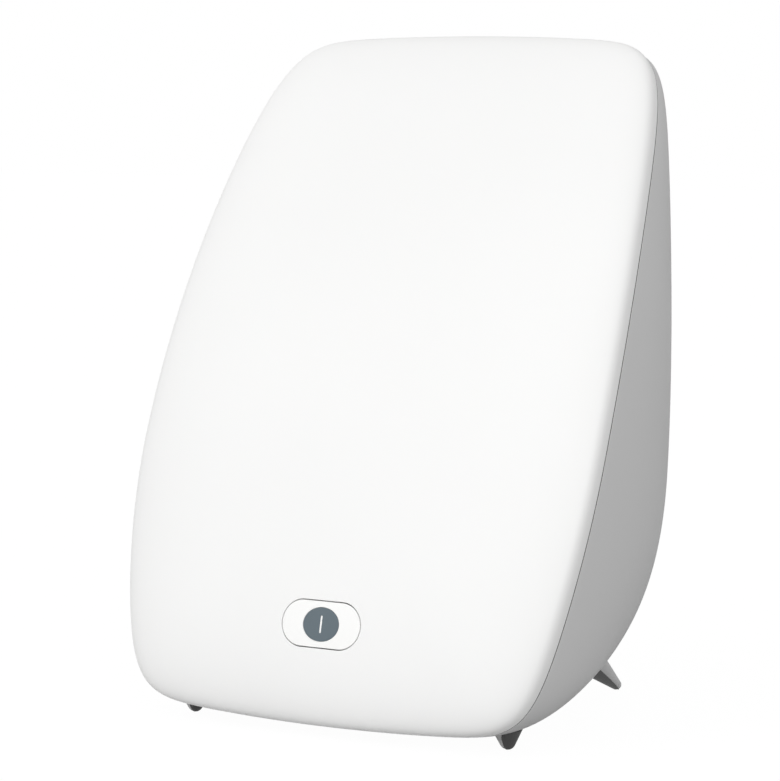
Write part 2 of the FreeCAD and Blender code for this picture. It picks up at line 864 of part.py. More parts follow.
def lamp_tubes(x, wall):
    """Twin tubes with round tips, joined by a short bridge, taken in by a wall."""
    tip = lamp_bottom + lamp_length - tube_radius
    radius = tube_radius - wall
    tubes = Part.makeCylinder(
        bridge_radius - wall, tube_spacing,
        Vector(x - tube_spacing / 2, tip - bridge_drop, tube_out), Vector(1, 0, 0),
    )
    for side in (-1, 1):
        axis = x + side * tube_spacing / 2
        leg = along_panel(radius, axis, tube_out, lamp_bottom, tip)
        tubes = tubes.fuse(leg.fuse(Part.makeSphere(radius, Vector(axis, tip, tube_out))))
    return tubes.removeSplitter()


def pin_places(x):
    """Where the four contact pins stand across a lamp's base."""
    return [x + (i - 1.5) * pin_pitch for i in range(4)]


def make_lamp(x):
    """A lamp with its base and pins, its holder and the clip near its tip."""
    solid_lamp = lamp_tubes(x, 0)
    glass = solid_lamp.cut(lamp_tubes(x, glass_wall))
    low = tube_out - base_depth / 2
    high = tube_out + base_depth / 2
    base = rounded_box(
        x - base_width / 2, x + base_width / 2, base_bottom, lamp_bottom, low, high, holder_corner
    )
    holder = rounded_box(
        x - holder_width / 2, x + holder_width / 2, holder_bottom, base_bottom,
        reflector_out, high, holder_corner,
    )
    pins = []
    for pin_x in pin_places(x):
        end = base_bottom - pin_length
        pin = along_panel(pin_radius, pin_x, tube_out, end, base_bottom + pin_seat)
        socket = along_panel(pin_radius + pin_clearance, pin_x, tube_out, end - 1, base_bottom)
        base = base.cut(pin)
        holder = holder.cut(socket)
        pins.append(placed(pin, panel))
    clip = rounded_box(
        x - clip_width / 2, x + clip_width / 2, clip_height, clip_height + clip_length,
        reflector_out, clip_out, 2.0,
    )
    clip = clip.cut(solid_lamp)
    return [placed(shape, panel) for shape in (glass, base, holder, clip)], pins


contact_pins = []
for side_name, side in (("left", -1), ("right", 1)):
    pieces, pins = make_lamp(side * lamp_x)
    for name, piece in zip(("lamp", "lamp_base", "lampholder", "lamp_clip"), pieces):
        parts[name + "_" + side_name] = piece
    contact_pins += pins
parts["lamp_contact_pins"] = Part.Compound(contact_pins)


# ---- Ballast and terminal block, behind the chassis ----
def make_ballast():
    """The ballast's tray, lid, circuit board, coils and capacitors."""
    half = ballast_width / 2
    low = ballast_bottom
    high = ballast_bottom + ballast_height
    rear = chassis_back - ballast_depth
    t = ballast_sheet
    tray = box(-half, half, low, high, rear, chassis_back)
    tray = tray.cut(box(t - half, half - t, low + t, high - t, rear, chassis_back - t))
    board_front = chassis_back - t - standoff_height
    board_back = board_front - board_thickness
    inset = t + board_margin
    for x in (-half + 2 * inset, half - 2 * inset):
        for up in (low + 2 * inset, high - 2 * inset):
            tray = tray.fuse(rod(standoff_radius, x, up, board_front, chassis_back - t))
    for side in (-1, 1):
        x = side * ballast_screw_x
        ear = box(
            x - ear_width / 2, x + ear_width / 2, ballast_centre - ear_width / 2,
            ballast_centre + ear_width / 2, chassis_back - t, chassis_back,
        )
        hole = rod(screw_pass, x, ballast_centre, chassis_back - t, chassis_back)
        tray = tray.fuse(ear).cut(hole)
    gap = lid_clearance
    outer = gap + t
    lid = box(-half - outer, half + outer, low - outer, high + outer, rear - t, rear + lid_skirt)
    lid = lid.cut(box(-half - gap, half + gap, low - gap, high + gap, rear, rear + lid_skirt))
    board = box(inset - half, half - inset, low + inset, high - inset, board_back, board_front)
    coils = []
    for x in (-coil_pitch, 0, coil_pitch):
        wide, tall, deep = coil_size
        up = low + ballast_height * 0.36
        coils.append(box(x - wide / 2, x + wide / 2, up - tall / 2, up + tall / 2, board_back - deep, board_back))
    cans = []
    for i in range(4):
        x = (i - 1.5) * capacitor_pitch
        up = high - inset - capacitor_radius - 2
        cans.append(rod(capacitor_radius, x, up, board_back - capacitor_height, board_back))
    names = ("ballast_tray", "ballast_lid", "ballast_board", "ballast_coils", "ballast_capacitors")
    shapes = (tray, lid, board, Part.Compound(coils), Part.Compound(cans))
    for name, shape in zip(names, shapes):
        parts[name] = placed(shape, panel)
    head = chassis_back - t
    parts["ballast_screws"] = Part.Compound([
        placed(screw(side * ballast_screw_x, ballast_centre, head, chassis_out), panel)
        for side in (-1, 1)
    ])


def make_terminals():
    """The terminal block, with a wire bore and a clamp screw at each of its three ways."""
    half = terminal_length / 2
    low = terminal_height
    high = terminal_height + terminal_width
    rear = chassis_back - terminal_depth
    block = rounded_box(
        terminal_x - half, terminal_x + half, low, high, rear, chassis_back, 1.5
    )
    middle = (low + high) / 2
    bore_out = chassis_back - terminal_depth / 2
    screws = []
    for i in (-1, 0, 1):
        x = terminal_x + i * terminal_length / 3
        bore = along_panel(terminal_bore, x, bore_out, low, high)
        block = block.cut(bore).cut(rod(terminal_screw + key_gap, x, middle, rear, bore_out))
        clamp = rod(terminal_screw, x, middle, rear + 1, bore_out)
        screws.append(placed(clamp, panel))
    parts["terminal_block"] = placed(block, panel)
    parts["terminal_screws"] = Part.Compound(screws)


make_ballast()
make_terminals()

# ---- Power inlet ----
inlet_frame = Placement(Vector(0, pocket_floor, inlet_height), Rotation(Vector(1, 0, 0), -90))
socket_floor = inlet_flange - socket_depth
inlet = rounded_box(
    -flange_width / 2, flange_width / 2, -flange_height / 2, flange_height / 2, 0, inlet_flange, 2.0
)
inlet = inlet.fuse(box(
    -inlet_width / 2, inlet_width / 2, -inlet_body_height / 2, inlet_body_height / 2, -inlet_depth, 0
))
inlet = inlet.cut(pill(socket_length, socket_height, socket_floor, inlet_flange))
contacts = []
for side in (-1, 1):
    contact = rod(
        contact_radius, side * contact_spacing / 2, 0,
        -inlet_depth - contact_tail, socket_floor + contact_length,
    )
    inlet = inlet.cut(contact)
    contacts.append(placed(contact, inlet_frame))
parts["power_inlet"] = placed(inlet, inlet_frame)
parts["inlet_contacts"] = Part.Compound(contacts)

# ---- Leads ----
inlet_tail = pocket_floor - inlet_depth - contact_tail
terminal_rear = chassis_back - terminal_depth
terminal_middle = terminal_height + terminal_width / 2
terminal_way = terminal_x - terminal_length / 3
bore_out = chassis_back - terminal_depth / 2
ballast_rear = chassis_back - ballast_depth - ballast_sheet
parts["mains_lead"] = lead(
    [
        Vector(0, inlet_tail, inlet_height),
        Vector(0, inlet_tail - 8, inlet_height + 3),
        Vector(-8, inlet_tail + 14, inlet_height + 42),
        on_panel(terminal_x, terminal_middle, terminal_rear - 30),
        on_panel(terminal_x, terminal_middle, terminal_rear),
    ],
    mains_lead_radius,
)
parts["switch_lead"] = lead(
    [
        on_panel(terminal_way, terminal_height + 3, bore_out),
        on_panel(terminal_way, terminal_height - 13, bore_out),
        on_panel(terminal_way + 4, terminal_height - 17, ballast_rear - 9),
        on_panel(-10, ballast_bottom - 6, ballast_rear - 11),
        on_panel(0, carrier_up + 10, chassis_back - 22),
        on_panel(0, carrier_up, chassis_back - 6),
        key_frame.multVec(Vector(0, 0, switch_bottom - carrier_roof)),
    ],
    lead_radius,
)
for side_name, side in (("left", -1), ("right", 1)):
    x = side * lamp_x
    parts["lamp_lead_" + side_name] = lead(
        [
            on_panel(x, ballast_bottom, chassis_back - 12),
            on_panel(x, lamp_lead_up + 33, chassis_back - 18),
            on_panel(x, lamp_lead_up, chassis_back - 14),
            on_panel(x, lamp_lead_up, reflector_out),
        ],
        lead_radius,
    )

# ---- Every piece is moved so that the origin is the middle of the footprint ----
front_face = cover_outer.optimalBoundingBox(False, False).YMin
rear_face = parts["foot_rear_left"].optimalBoundingBox(False, False).YMax
to_origin = Vector(0, -(front_face + rear_face) / 2, 0)
os.makedirs("parts", exist_ok=True)
for name, shape in parts.items():
    piece = shape.copy()
    piece.translate(to_origin)
    piece.exportStep("parts/" + name + ".step")
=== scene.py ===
# %% [markdown]
# # A light therapy lamp, piece by piece
# This lamp is two plastic mouldings that meet at one curved seam: a white cover that glows in use,
# and a deep grey housing behind it. The engineering model of the lamp is loaded first and stays
# fixed. Everything that shows is then worked out over it, from the same sizes.

import json
import math
from collections import namedtuple

import bpy
import numpy as np
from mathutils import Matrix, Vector


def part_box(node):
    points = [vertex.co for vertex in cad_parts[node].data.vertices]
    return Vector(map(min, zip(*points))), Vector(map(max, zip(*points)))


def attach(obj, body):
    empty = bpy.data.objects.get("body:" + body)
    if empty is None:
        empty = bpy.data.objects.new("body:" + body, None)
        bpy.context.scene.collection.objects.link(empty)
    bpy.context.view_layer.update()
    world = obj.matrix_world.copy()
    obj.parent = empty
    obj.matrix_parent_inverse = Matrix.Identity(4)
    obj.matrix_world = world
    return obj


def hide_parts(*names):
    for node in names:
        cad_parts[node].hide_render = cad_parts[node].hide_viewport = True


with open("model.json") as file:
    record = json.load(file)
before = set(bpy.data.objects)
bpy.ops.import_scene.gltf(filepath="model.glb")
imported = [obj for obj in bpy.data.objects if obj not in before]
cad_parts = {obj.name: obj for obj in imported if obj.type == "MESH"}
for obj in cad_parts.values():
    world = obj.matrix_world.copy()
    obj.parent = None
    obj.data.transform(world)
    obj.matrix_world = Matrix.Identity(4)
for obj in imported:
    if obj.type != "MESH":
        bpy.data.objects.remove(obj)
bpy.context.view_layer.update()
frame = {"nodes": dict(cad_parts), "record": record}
nodes = frame["nodes"]

# %% [markdown]
# ## Sizes
# All sizes are in millimetres, as a drawing would give them, and become metres only when a mesh is
# made. The cover and the housing share one seam, so its outline and its arc come first. A size that
# only one piece needs is given where that piece is made.

# %% Sizes of the seam
MM = 0.001
FLOOR_GAP = 5.6                                 # from the floor to the seam's lowest edge
SEAM_WIDTH, SEAM_LENGTH = 287.0, 411.9          # across the lamp, and upwards along the arc
SEAM_RADIUS, SEAM_LEAN = 958.0, math.radians(13.3)      # of the arc, and its lean at the bottom
WIDEST = 158.7                                  # up the arc to the outline's widest place
TAPER_UP, TAPER_DOWN = 26.0, 24.0               # what each side loses at the top and the bottom
CORNER_POWER = 11.5                             # squares the outline's corners
BOTTOM_BOW, TOP_BOW = 5.8, 5.4                  # bows the bottom and top edges outwards
HALF_JOINT = 0.42                               # half the gap in the seam, filled by a dark strip of painted shade
EDGE_RADIUS = 0.5                               # of the softened edge that a mould leaves
print("seam", SEAM_WIDTH, "mm wide and", SEAM_LENGTH, "mm long on its arc")

# %% Place of the drawing in the model
POCKET_FLOOR, INLET_FLANGE = 124.0, 2.0         # from the seam's lowest edge, and the flange's depth
# The drawing's Y starts at the seam's lowest edge, and the model's in the middle of its footprint
Y_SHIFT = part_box("power_inlet")[1].y / MM - (POCKET_FLOOR + INLET_FLANGE)
print("shift of Y", round(Y_SHIFT, 3), "mm")

# %% [markdown]
# ## The seam's outline
# A superellipse runs from a circle at power 2 towards a rectangle as its power grows, so one number
# sets how square a corner is. The seam's outline is one with a high power, narrowed a little upwards
# and downwards. A curve object pulled into shape by hand could look the same, but every other
# surface of the lamp can ask a formula for its points.

# %% Superellipse and outline
def superellipse(angle, power):
    """Point at a polar angle on the curve where the powers of |x| and |y| add up to 1."""
    c, s = np.cos(angle), np.sin(angle)
    radius = (np.abs(c) ** power + np.abs(s) ** power) ** (-1.0 / power)
    return radius * c, radius * s


def seam_outline(turn):
    """Flat outline (across, along): a superellipse about the widest place. Its ends bow by the
    rise times the square of the reach, and it narrows with the square of the distance along."""
    c, s = superellipse(turn, CORNER_POWER)
    upper = WIDEST + (SEAM_LENGTH - WIDEST) * s - TOP_BOW * s * c * c
    lower = WIDEST * (1 + s) - BOTTOM_BOW * s * c * c
    along = np.where(s > 0, upper, lower)
    reach = np.where(s > 0, SEAM_LENGTH - WIDEST, WIDEST)
    taper = np.where(s > 0, TAPER_UP, TAPER_DOWN) * ((along - WIDEST) / reach) ** 2
    return (SEAM_WIDTH / 2 - taper) * c, along


print("upper right corner at", np.round(seam_outline(np.pi / 4), 1), "mm")

# %% [markdown]
# ## Bending it
# Seen from the side the lamp leans back and bows gently, like a page held by its foot. The outline
# is drawn flat, where it is easy to shape, and each point is then carried round an arc. A Simple
# Deform modifier does the same to a finished mesh, but then no formula gives a point's place.

# %% Bend, and even steps round the outline
POLAR = np.linspace(0, 2 * np.pi, 40001)        # one turn, for tables that stand for smooth curves
TURN_COUNT = 480


def bend(across, along, depth):
    """Bends a flat point round the seam's arc: its angle is the lean plus its length along over
    the radius. Depth runs square to the arc, into the housing."""
    angle = SEAM_LEAN + along / SEAM_RADIUS
    y = SEAM_RADIUS * (math.cos(SEAM_LEAN) - np.cos(angle)) + depth * np.cos(angle)
    z = FLOOR_GAP + SEAM_RADIUS * (np.sin(angle) - math.sin(SEAM_LEAN)) - depth * np.sin(angle)
    return np.stack([across + 0 * y, y + Y_SHIFT, z + 0 * across], axis=-1) * MM


def even_turns(count):
    """Polar angles that step evenly along the outline, read back from its running length."""
    across, along = seam_outline(POLAR)
    length = np.concatenate([[0], np.cumsum(np.hypot(np.diff(across), np.diff(along)))])
    return np.interp(np.arange(count) * length[-1] / count, length, POLAR), length[-1]


TURNS, outline_length = even_turns(TURN_COUNT)
print("seam outline", round(outline_length, 1), "mm round, in", len(TURNS), "steps")

# %% [markdown]
# ## Moving the outline inwards
# A moulding has walls, so the same outline is needed again a little further in. Scaling it would
# make the walls thicker at the ends than at the sides, so each point moves square to the curve.

# %% Inset outline
NUDGE = 1e-4                                    # radians, for a slope taken by difference


def inset_outline(turns, inset):
    """Outline moved inwards square to itself: the slope is the difference between two points, one
    just before and one just after."""
    x0, a0 = seam_outline(turns - NUDGE)
    x1, a1 = seam_outline(turns + NUDGE)
    x, a = seam_outline(turns)
    size = np.hypot(x1 - x0, a1 - a0)
    return x - inset * (a1 - a0) / size, a + inset * (x1 - x0) / size


print("10 mm further in, the side is at", round(float(inset_outline(0.0, 10.0)[0]), 1), "mm")

# %% [markdown]
# ## From a grid of points to a mesh
# Every surface here is a grid: rows follow one parameter and columns the other. A ring's columns
# close on themselves, and a row can shrink to a single point, a pole. Faces between neighbours in
# the grid make the skin, and each finished skin is turned to face outwards.

# %% Faces of a grid
def ring_faces(rows, columns):
    """Quads between successive closed rings, as an index array."""
    r, c = np.meshgrid(np.arange(rows - 1), np.arange(columns), indexing="ij")
    n = (c + 1) % columns
    quads = np.stack([r * columns + c, r * columns + n, (r + 1) * columns + n, (r + 1) * columns + c])
    return quads.reshape(4, -1).T


def fan_faces(ring, pole, flip):
    """Triangles from a closed ring of indices to a pole."""
    following = np.roll(ring, -1)
    fan = np.stack([ring, following, np.full_like(ring, pole)], axis=1)
    return fan[:, ::-1] if flip else fan


def grid_mesh(name, rings, first_pole=None, last_pole=None, loop=False):
    """A mesh from rings, an array (rows, columns, 3). Poles close the ends, loop joins them."""
    rows, columns = rings.shape[:2]
    points = rings.reshape(-1, 3)
    faces = [ring_faces(rows, columns)]
    first = np.arange(columns)
    last = first + (rows - 1) * columns
    if loop:
        faces.append(np.stack([last, np.roll(last, -1), np.roll(first, -1), first], axis=1))
    if first_pole is not None:
        points = np.vstack([points, first_pole])
        faces.append(fan_faces(first, len(points) - 1, True))
    if last_pole is not None:
        points = np.vstack([points, last_pole])
        faces.append(fan_faces(last, len(points) - 1, False))
    mesh = bpy.data.meshes.new(name)
    mesh.from_pydata(points, [], [tuple(f) for part in faces for f in part.tolist()])
    mesh.update()
    return mesh


print("two neighbouring rings of the outline share", len(ring_faces(2, TURN_COUNT)), "faces")

# %% [markdown]
# ## From a mesh to a piece
# The volume inside a closed mesh comes out negative when its faces point inwards, which makes it a
# quick test for turning them round. A piece is then shaded smooth, except where two faces meet at
# a real edge.

# %% Pieces
SHARP = 38.0                                    # degrees between faces that make an edge


def signed_volume(mesh):
    """Volume inside a closed mesh: a sixth of the sum of every triangle's triple product."""
    mesh.calc_loop_triangles()
    co = np.zeros(len(mesh.vertices) * 3)
    mesh.vertices.foreach_get("co", co)
    tri = np.zeros(len(mesh.loop_triangles) * 3, dtype=np.int32)
    mesh.loop_triangles.foreach_get("vertices", tri)
    p = co.reshape(-1, 3)[tri.reshape(-1, 3)]
    return float(np.einsum("ij,ij->i", p[:, 0], np.cross(p[:, 1], p[:, 2])).sum() / 6)


def smooth(mesh, sharp):
    """Smooth shading, except at edges sharper than an angle in degrees."""
    mesh.polygons.foreach_set("use_smooth", np.ones(len(mesh.polygons), dtype=bool))
    mesh.set_sharp_from_angle(angle=math.radians(sharp))


def new_object(name, data):
    """An object in the scene that holds a mesh, a light or a camera."""
    thing = bpy.data.objects.new(name, data)
    bpy.context.scene.collection.objects.link(thing)
    return thing


def add_piece(name, mesh):
    """An object from a closed mesh, facing outwards and shaded smooth."""
    if signed_volume(mesh) < 0:
        mesh.flip_normals()
    smooth(mesh, SHARP)
    print(name, len(mesh.polygons), "faces,", round(signed_volume(mesh) * 1e6, 2), "cm3")
    return new_object(name, mesh)


print("faces that meet at more than", SHARP, "degrees make an edge")

# %% [markdown]
# ## The face of the cover
# The cover's face is a shallow cushion. Each level of it is the seam's outline, shrunk towards the
# widest place. How far a point lies from that place, as a share of the outline, sets its height: a
# superellipse again, which leaves the rim steeply and flattens towards the crown. Because height
# follows from place, the face can carry a grid that flows round the key instead of one that is cut
# by it.

# %% Height of the face over the seam
RIM, CROWN, COVER_POWER, COVER_WALL = 3.0, 18.5, 3.2, 2.4
KEY_HEIGHT = 53.3                               # of the key's middle, up the arc


def outline_reach(inset):
    """Table of the outline's distance from the widest place, by direction."""
    x, a = inset_outline(POLAR, inset)
    direction = np.unwrap(np.arctan2(a - WIDEST, x))
    return direction, np.hypot(x, a - WIDEST)


def face_height(across, along, inset=0.0):
    """Height of the face over the seam at any place inside the outline: the rim, plus the crown
    times a superellipse of the place's share of the way out."""
    direction, reach = outline_reach(inset)
    way = np.mod(np.arctan2(along - WIDEST, across) - direction[0], 2 * np.pi) + direction[0]
    share = np.clip(np.hypot(across, along - WIDEST) / np.interp(way, direction, reach), 0, 1)
    rise = (1 - share ** COVER_POWER) ** (1 / COVER_POWER)
    return RIM + (CROWN - inset) * rise


def level(place, height):
    """Points of the grid over a place on the flat drawing, at a height over the seam."""
    return bend(place[0], place[1], -height)


key_face = float(face_height(0.0, KEY_HEIGHT))
SQUEEZE = 1 / (1 + key_face / SEAM_RADIUS)      # of lengths up the face, when laid on the seam
print("face over the seam at the key", round(key_face, 2), "mm")

# %% [markdown]
# ## Outline of the key
# The key is a stadium: two half circles joined by straight sides. Its edge is wanted by direction
# from the middle, so that the cover's columns can run straight from the key to the seam.

# %% Stadium, and rows between two outlines
KEY_LENGTH, KEY_WIDTH = 48.6, 25.0
KEY_GAP, KEY_EDGE = 0.55, 0.25                  # round the key, and the radius of both edges


def pill(direction, length, width):
    """Distance from the middle of a stadium to its edge: to the flat side where the direction
    meets one, and otherwise to the half circle beyond it."""
    c, s = np.abs(np.cos(direction)), np.abs(np.sin(direction))
    radius, half = width / 2, (length - width) / 2
    flat = radius / np.maximum(s, 1e-9)
    root = np.sqrt(np.maximum(radius ** 2 - (half * s) ** 2, 0))
    return np.where(flat * c <= half, flat, half * c + root)


def key_place(direction, grow):
    """Points of the key's outline on the seam's flat drawing, grown by a margin."""
    reach = pill(direction, KEY_LENGTH + 2 * grow, KEY_WIDTH + 2 * grow)
    return reach * np.cos(direction), KEY_HEIGHT + reach * np.sin(direction) * SQUEEZE


def between(inner, outer, share):
    """Rows of flat points from an inner outline to an outer one, at each share of the way."""
    s = share[:, None]
    return inner[0] + (outer[0] - inner[0]) * s, inner[1] + (outer[1] - inner[1]) * s


print("key", KEY_LENGTH, "by", KEY_WIDTH, "mm, with", KEY_GAP, "mm of room round it")

# %% [markdown]
# ## Softened edges
# A mould leaves no edge quite sharp, and it is the small highlight along an edge that makes plastic
# look real. A Bevel modifier would round every edge alike. Here each edge is a quarter circle of
# rows in the grid, so it has its own radius and keeps the face's curve.

# %% Edges between the face and a wall
QUARTER = np.linspace(0, np.pi / 2, 5)          # steps over a quarter circle


def rising_edge(place_at, margin, radius):
    """Rows from a wall up on to the face: a quarter circle that moves outwards from a margin.
    The place is asked for by how far it is grown."""
    for q in QUARTER:
        place = place_at(margin + radius * (1 - math.cos(q)))
        yield level(place, face_height(*place) - radius * (1 - math.sin(q)))


def falling_edge(place_at, radius, top=0.0):
    """Rows from the face, or a top that lies off it, down to a wall at no growth: the same quarter
    circle the other way up."""
    for q in QUARTER:
        place = place_at(-radius * (1 - math.sin(q)))
        yield level(place, face_height(*place) + top - radius * (1 - math.cos(q)))


print("each softened edge has", len(QUARTER), "rows")

# %% [markdown]
# ## The front cover
# The moulding is a closed skin: its outer face, the rim at the seam, the inner face one wall
# further in, and the collar round the key. One profile runs round all of that and back to its
# start, so the whole cover is a single grid that closes both ways, like a ring doughnut. Solidify
# would give the wall too, but not the collar.

# %% Cover
COLLAR_WALL, COLLAR_DEPTH = 1.7, 8.7            # of the collar, the depth taken from the face
NEAR_KEY = np.array([0.002, 0.006, 0.014])      # shares of the way for the rows next to the key
FACE_START, FACE_ROWS, INSIDE_ROWS = 0.02, 96, 50       # where even steps begin, and the rows
CROWDING = 3.4                                  # power that crowds the rows towards the rim


def cover_rings():
    """Rows of the cover's skin: collar, edge, face, rim, inner face and back down the collar."""
    outer_edge = seam_outline(TURNS)
    key_way = np.arctan2(outer_edge[1] - KEY_HEIGHT, outer_edge[0])
    mouth = key_place(key_way, KEY_GAP)
    rows = [level(mouth, face_height(*mouth) - COLLAR_DEPTH)]
    rows.extend(rising_edge(lambda grow: key_place(key_way, grow), KEY_GAP, KEY_EDGE))
    start = key_place(key_way, KEY_GAP + KEY_EDGE)
    rest = 1 - (1 - np.linspace(FACE_START, 1, FACE_ROWS)) ** CROWDING
    face = between(start, outer_edge, np.concatenate([NEAR_KEY, rest]))
    rows.extend(level(face, face_height(*face)))
    for q in QUARTER:
        edge = inset_outline(TURNS, EDGE_RADIUS * (1 - math.cos(q)))
        rows.append(level(edge, HALF_JOINT + EDGE_RADIUS * (1 - math.sin(q))))
    inner_edge = inset_outline(TURNS, COVER_WALL)
    rows.append(level(inner_edge, HALF_JOINT + 0 * inner_edge[0]))
    wall = key_place(key_way, KEY_GAP + COLLAR_WALL)
    inside = between(wall, inner_edge, 1 - np.linspace(0, 1, INSIDE_ROWS) ** CROWDING)
    rows.extend(level(inside, face_height(*inside, inset=COVER_WALL)))
    rows.append(level(wall, face_height(*wall) - COLLAR_DEPTH))
    return np.stack(rows)


cover = add_piece("cover_moulding", grid_mesh("cover_moulding", cover_rings(), loop=True))
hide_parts("front_cover")
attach(cover, "lamp")

# %% [markdown]
# ## The key
# The key is cut from the same curved face, so it takes its height from the same function. Its grid
# runs out from an oval seat in the middle to the pill-shaped edge, over a small radius and down the
# side.

# %% Key
SPOKE_COUNT, KEY_ROWS, SIDE_ROWS = 240, 24, 3
SPOKES = np.arange(SPOKE_COUNT) * 2 * np.pi / SPOKE_COUNT       # directions from the key's middle
MIDDLE = np.array([0.0]), np.array([KEY_HEIGHT])
DISC_WIDTH, DISC_HEIGHT, SEAT_DEPTH, KEY_DEPTH = 22.3, 18.4, 0.9, 9.0
SEAT_ROOM, SEAT_EDGE = 0.12, 0.2                # round the disc, and the radius of its seat's edge


def on_axis(height):
    """Point on the key's middle line, at a height over the face there."""
    return level(MIDDLE, face_height(*MIDDLE) + height)


def oval_place(grow, share=1.0):
    """The disc's oval on the seam's flat drawing, grown by a margin or taken at a share of its size."""
    x = (DISC_WIDTH / 2 + grow) * share * np.cos(SPOKES)
    return x, KEY_HEIGHT + (DISC_HEIGHT / 2 + grow) * share * np.sin(SPOKES) * SQUEEZE


def key_rings():
    """Rows of the key: seat floor, seat wall, face, edge and side."""
    rows = []
    for place in (oval_place(SEAT_ROOM, 0.5), oval_place(SEAT_ROOM)):
        rows.append(level(place, face_height(*place) - SEAT_DEPTH))
    rows.extend(rising_edge(oval_place, SEAT_ROOM, SEAT_EDGE))
    start = oval_place(SEAT_ROOM + SEAT_EDGE)
    end = key_place(SPOKES, -KEY_EDGE)
    top = between(start, end, np.linspace(0.04, 0.97, KEY_ROWS))
    rows.extend(level(top, face_height(*top)))
    rows.extend(falling_edge(lambda grow: key_place(SPOKES, grow), KEY_EDGE))
    side = key_place(SPOKES, 0.0)
    for drop in np.linspace(0, KEY_DEPTH, SIDE_ROWS + 1)[1:]:
        rows.append(level(side, face_height(*side) - drop))
    return np.stack(rows)


key = add_piece("key_cap", grid_mesh("key_cap", key_rings(), on_axis(-SEAT_DEPTH), on_axis(-KEY_DEPTH)))
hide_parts("power_key")
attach(key, "key")

# %% [markdown]
# ## The disc
# A thin slate-coloured disc is pressed into the key's seat to show where to push. It is a hair
# lower than the key's face, which gives it a fine shadow line instead of a painted edge.

# %% Disc
DISC_SINK, DISC_EDGE = 0.08, 0.15               # below the key's face, and its edge's radius
DISC_ROWS = 18


def disc_rings():
    """Rows of the disc: a shallow puck with a softened edge, just under the key's face."""
    rows = []
    for share in np.linspace(0.01, 1, DISC_ROWS)[:-1]:
        place = oval_place(-DISC_EDGE, share)
        rows.append(level(place, face_height(*place) - DISC_SINK))
    rows.extend(falling_edge(oval_place, DISC_EDGE, -DISC_SINK))
    place = oval_place(0.0)
    rows.append(level(place, face_height(*place) - SEAT_DEPTH))
    return np.stack(rows)


disc_mesh = grid_mesh("key_disc_face", disc_rings(), on_axis(-DISC_SINK), on_axis(-SEAT_DEPTH))
disc = add_piece("key_disc_face", disc_mesh)
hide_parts("key_disc")
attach(disc, "key")

# %% [markdown]
# ## The on/off stroke
# A narrow white stroke crosses the disc. It is a real piece that stands through the disc by the
# thickness of a hair, not a picture, so it stays crisp from as near as one likes.

# %% Stroke
STROKE_LENGTH, STROKE_WIDTH, STROKE_EDGE = 9.5, 1.05, 0.2
STROKE_RISE, STROKE_ROOT = 0.05, 0.7            # over the key's face, and down into the key


def stroke_place(grow):
    """The stroke's stadium, upright on the key, grown by a margin."""
    reach = pill(SPOKES, STROKE_LENGTH + 2 * grow, STROKE_WIDTH + 2 * grow)
    return reach * np.sin(SPOKES), KEY_HEIGHT + reach * np.cos(SPOKES) * SQUEEZE


def stroke_rings():
    """Rows of the raised stroke: a narrow stadium with a softened top."""
    rows = list(falling_edge(stroke_place, STROKE_EDGE, STROKE_RISE))
    place = stroke_place(0.0)
    rows.append(level(place, face_height(*place) - STROKE_ROOT))
    return np.stack(rows)


stroke_mesh = grid_mesh("key_stroke", stroke_rings(), on_axis(STROKE_RISE), on_axis(-STROKE_ROOT))
stroke = add_piece("key_stroke", stroke_mesh)
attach(stroke, "key")

# %% [markdown]
# ## The skin of the rear housing
# The housing's rounding also uses a superellipse between the seam and the flat of the back, with a
# power that changes round the outline: soft under the lamp and over its top, squarer at the sides.
# Subdividing a rough block would round it too, but the edge must lie on the seam exactly, and only
# rows that start there are sure to.

# %% Shape of the housing round the outline
HOUSING_DEPTH, BACK_HEIGHT, HOUSING_WALL = 192.7, 297.2, 2.8
BACK_HALF_WIDTH, BACK_UP, BACK_DOWN, BACK_POWER = 56.0, 76.5, 11.5, 8.0


def round_the_outline(at_side, at_bottom, at_top):
    """A value that passes from the sides to the bottom and the top, as the square of the rise."""
    rise = superellipse(TURNS, CORNER_POWER)[1]
    return at_side + (np.where(rise > 0, at_top, at_bottom) - at_side) * rise ** 2


SECTION_POWER = round_the_outline(at_side=3.0, at_bottom=1.9, at_top=2.2)
# How steeply the skin runs down as it leaves the seam
SECTION_FALL = round_the_outline(at_side=0.5, at_bottom=0.2, at_top=0.0)
print("power of the section from", round(SECTION_POWER.min(), 2), "to", round(SECTION_POWER.max(), 2))

# %% Rows of the housing
SKIN_ROWS, HOLLOW_ROWS, FLAT_ROWS = 100, 48, 5
SEAM_CROWDING = 1.25                            # power that crowds the rows towards the seam


def housing_rings(inset, steps):
    """Rows from the seam to the flat of the back: the back plus a share of the way to the seam,
    both from a superellipse, sheared down by the fall, which is nothing at either end."""
    x, a = inset_outline(TURNS, inset)
    start = bend(x, a, 0 * x) / MM - np.array([0, Y_SHIFT, 0])
    bx, bz = superellipse(TURNS, BACK_POWER)
    back_x = (BACK_HALF_WIDTH - inset) * bx
    back_z = BACK_HEIGHT + (np.where(bz > 0, BACK_UP, BACK_DOWN) - inset) * bz
    turn = np.pi / 2 * np.linspace(0, 1, steps)[:, None] ** SEAM_CROWDING
    share, reach = superellipse(turn, SECTION_POWER[None, :])
    share[-1] = 0
    depth = HOUSING_DEPTH - inset - start[:, 1]
    points = np.stack([
        back_x + (start[:, 0] - back_x) * share,
        start[:, 1] + depth * reach,
        back_z + (start[:, 2] - back_z) * share - depth * SECTION_FALL * (share + reach - 1),
    ], axis=-1)
    flat = np.linspace(0.85, 0.15, FLAT_ROWS)[:, None, None]
    middle = np.array([0, HOUSING_DEPTH - inset, BACK_HEIGHT + BACK_UP / 2])
    points = np.concatenate([points, middle + (points[-1] - middle) * flat])
    return (points + np.array([0, Y_SHIFT, 0])) * MM, (middle + np.array([0, Y_SHIFT, 0])) * MM


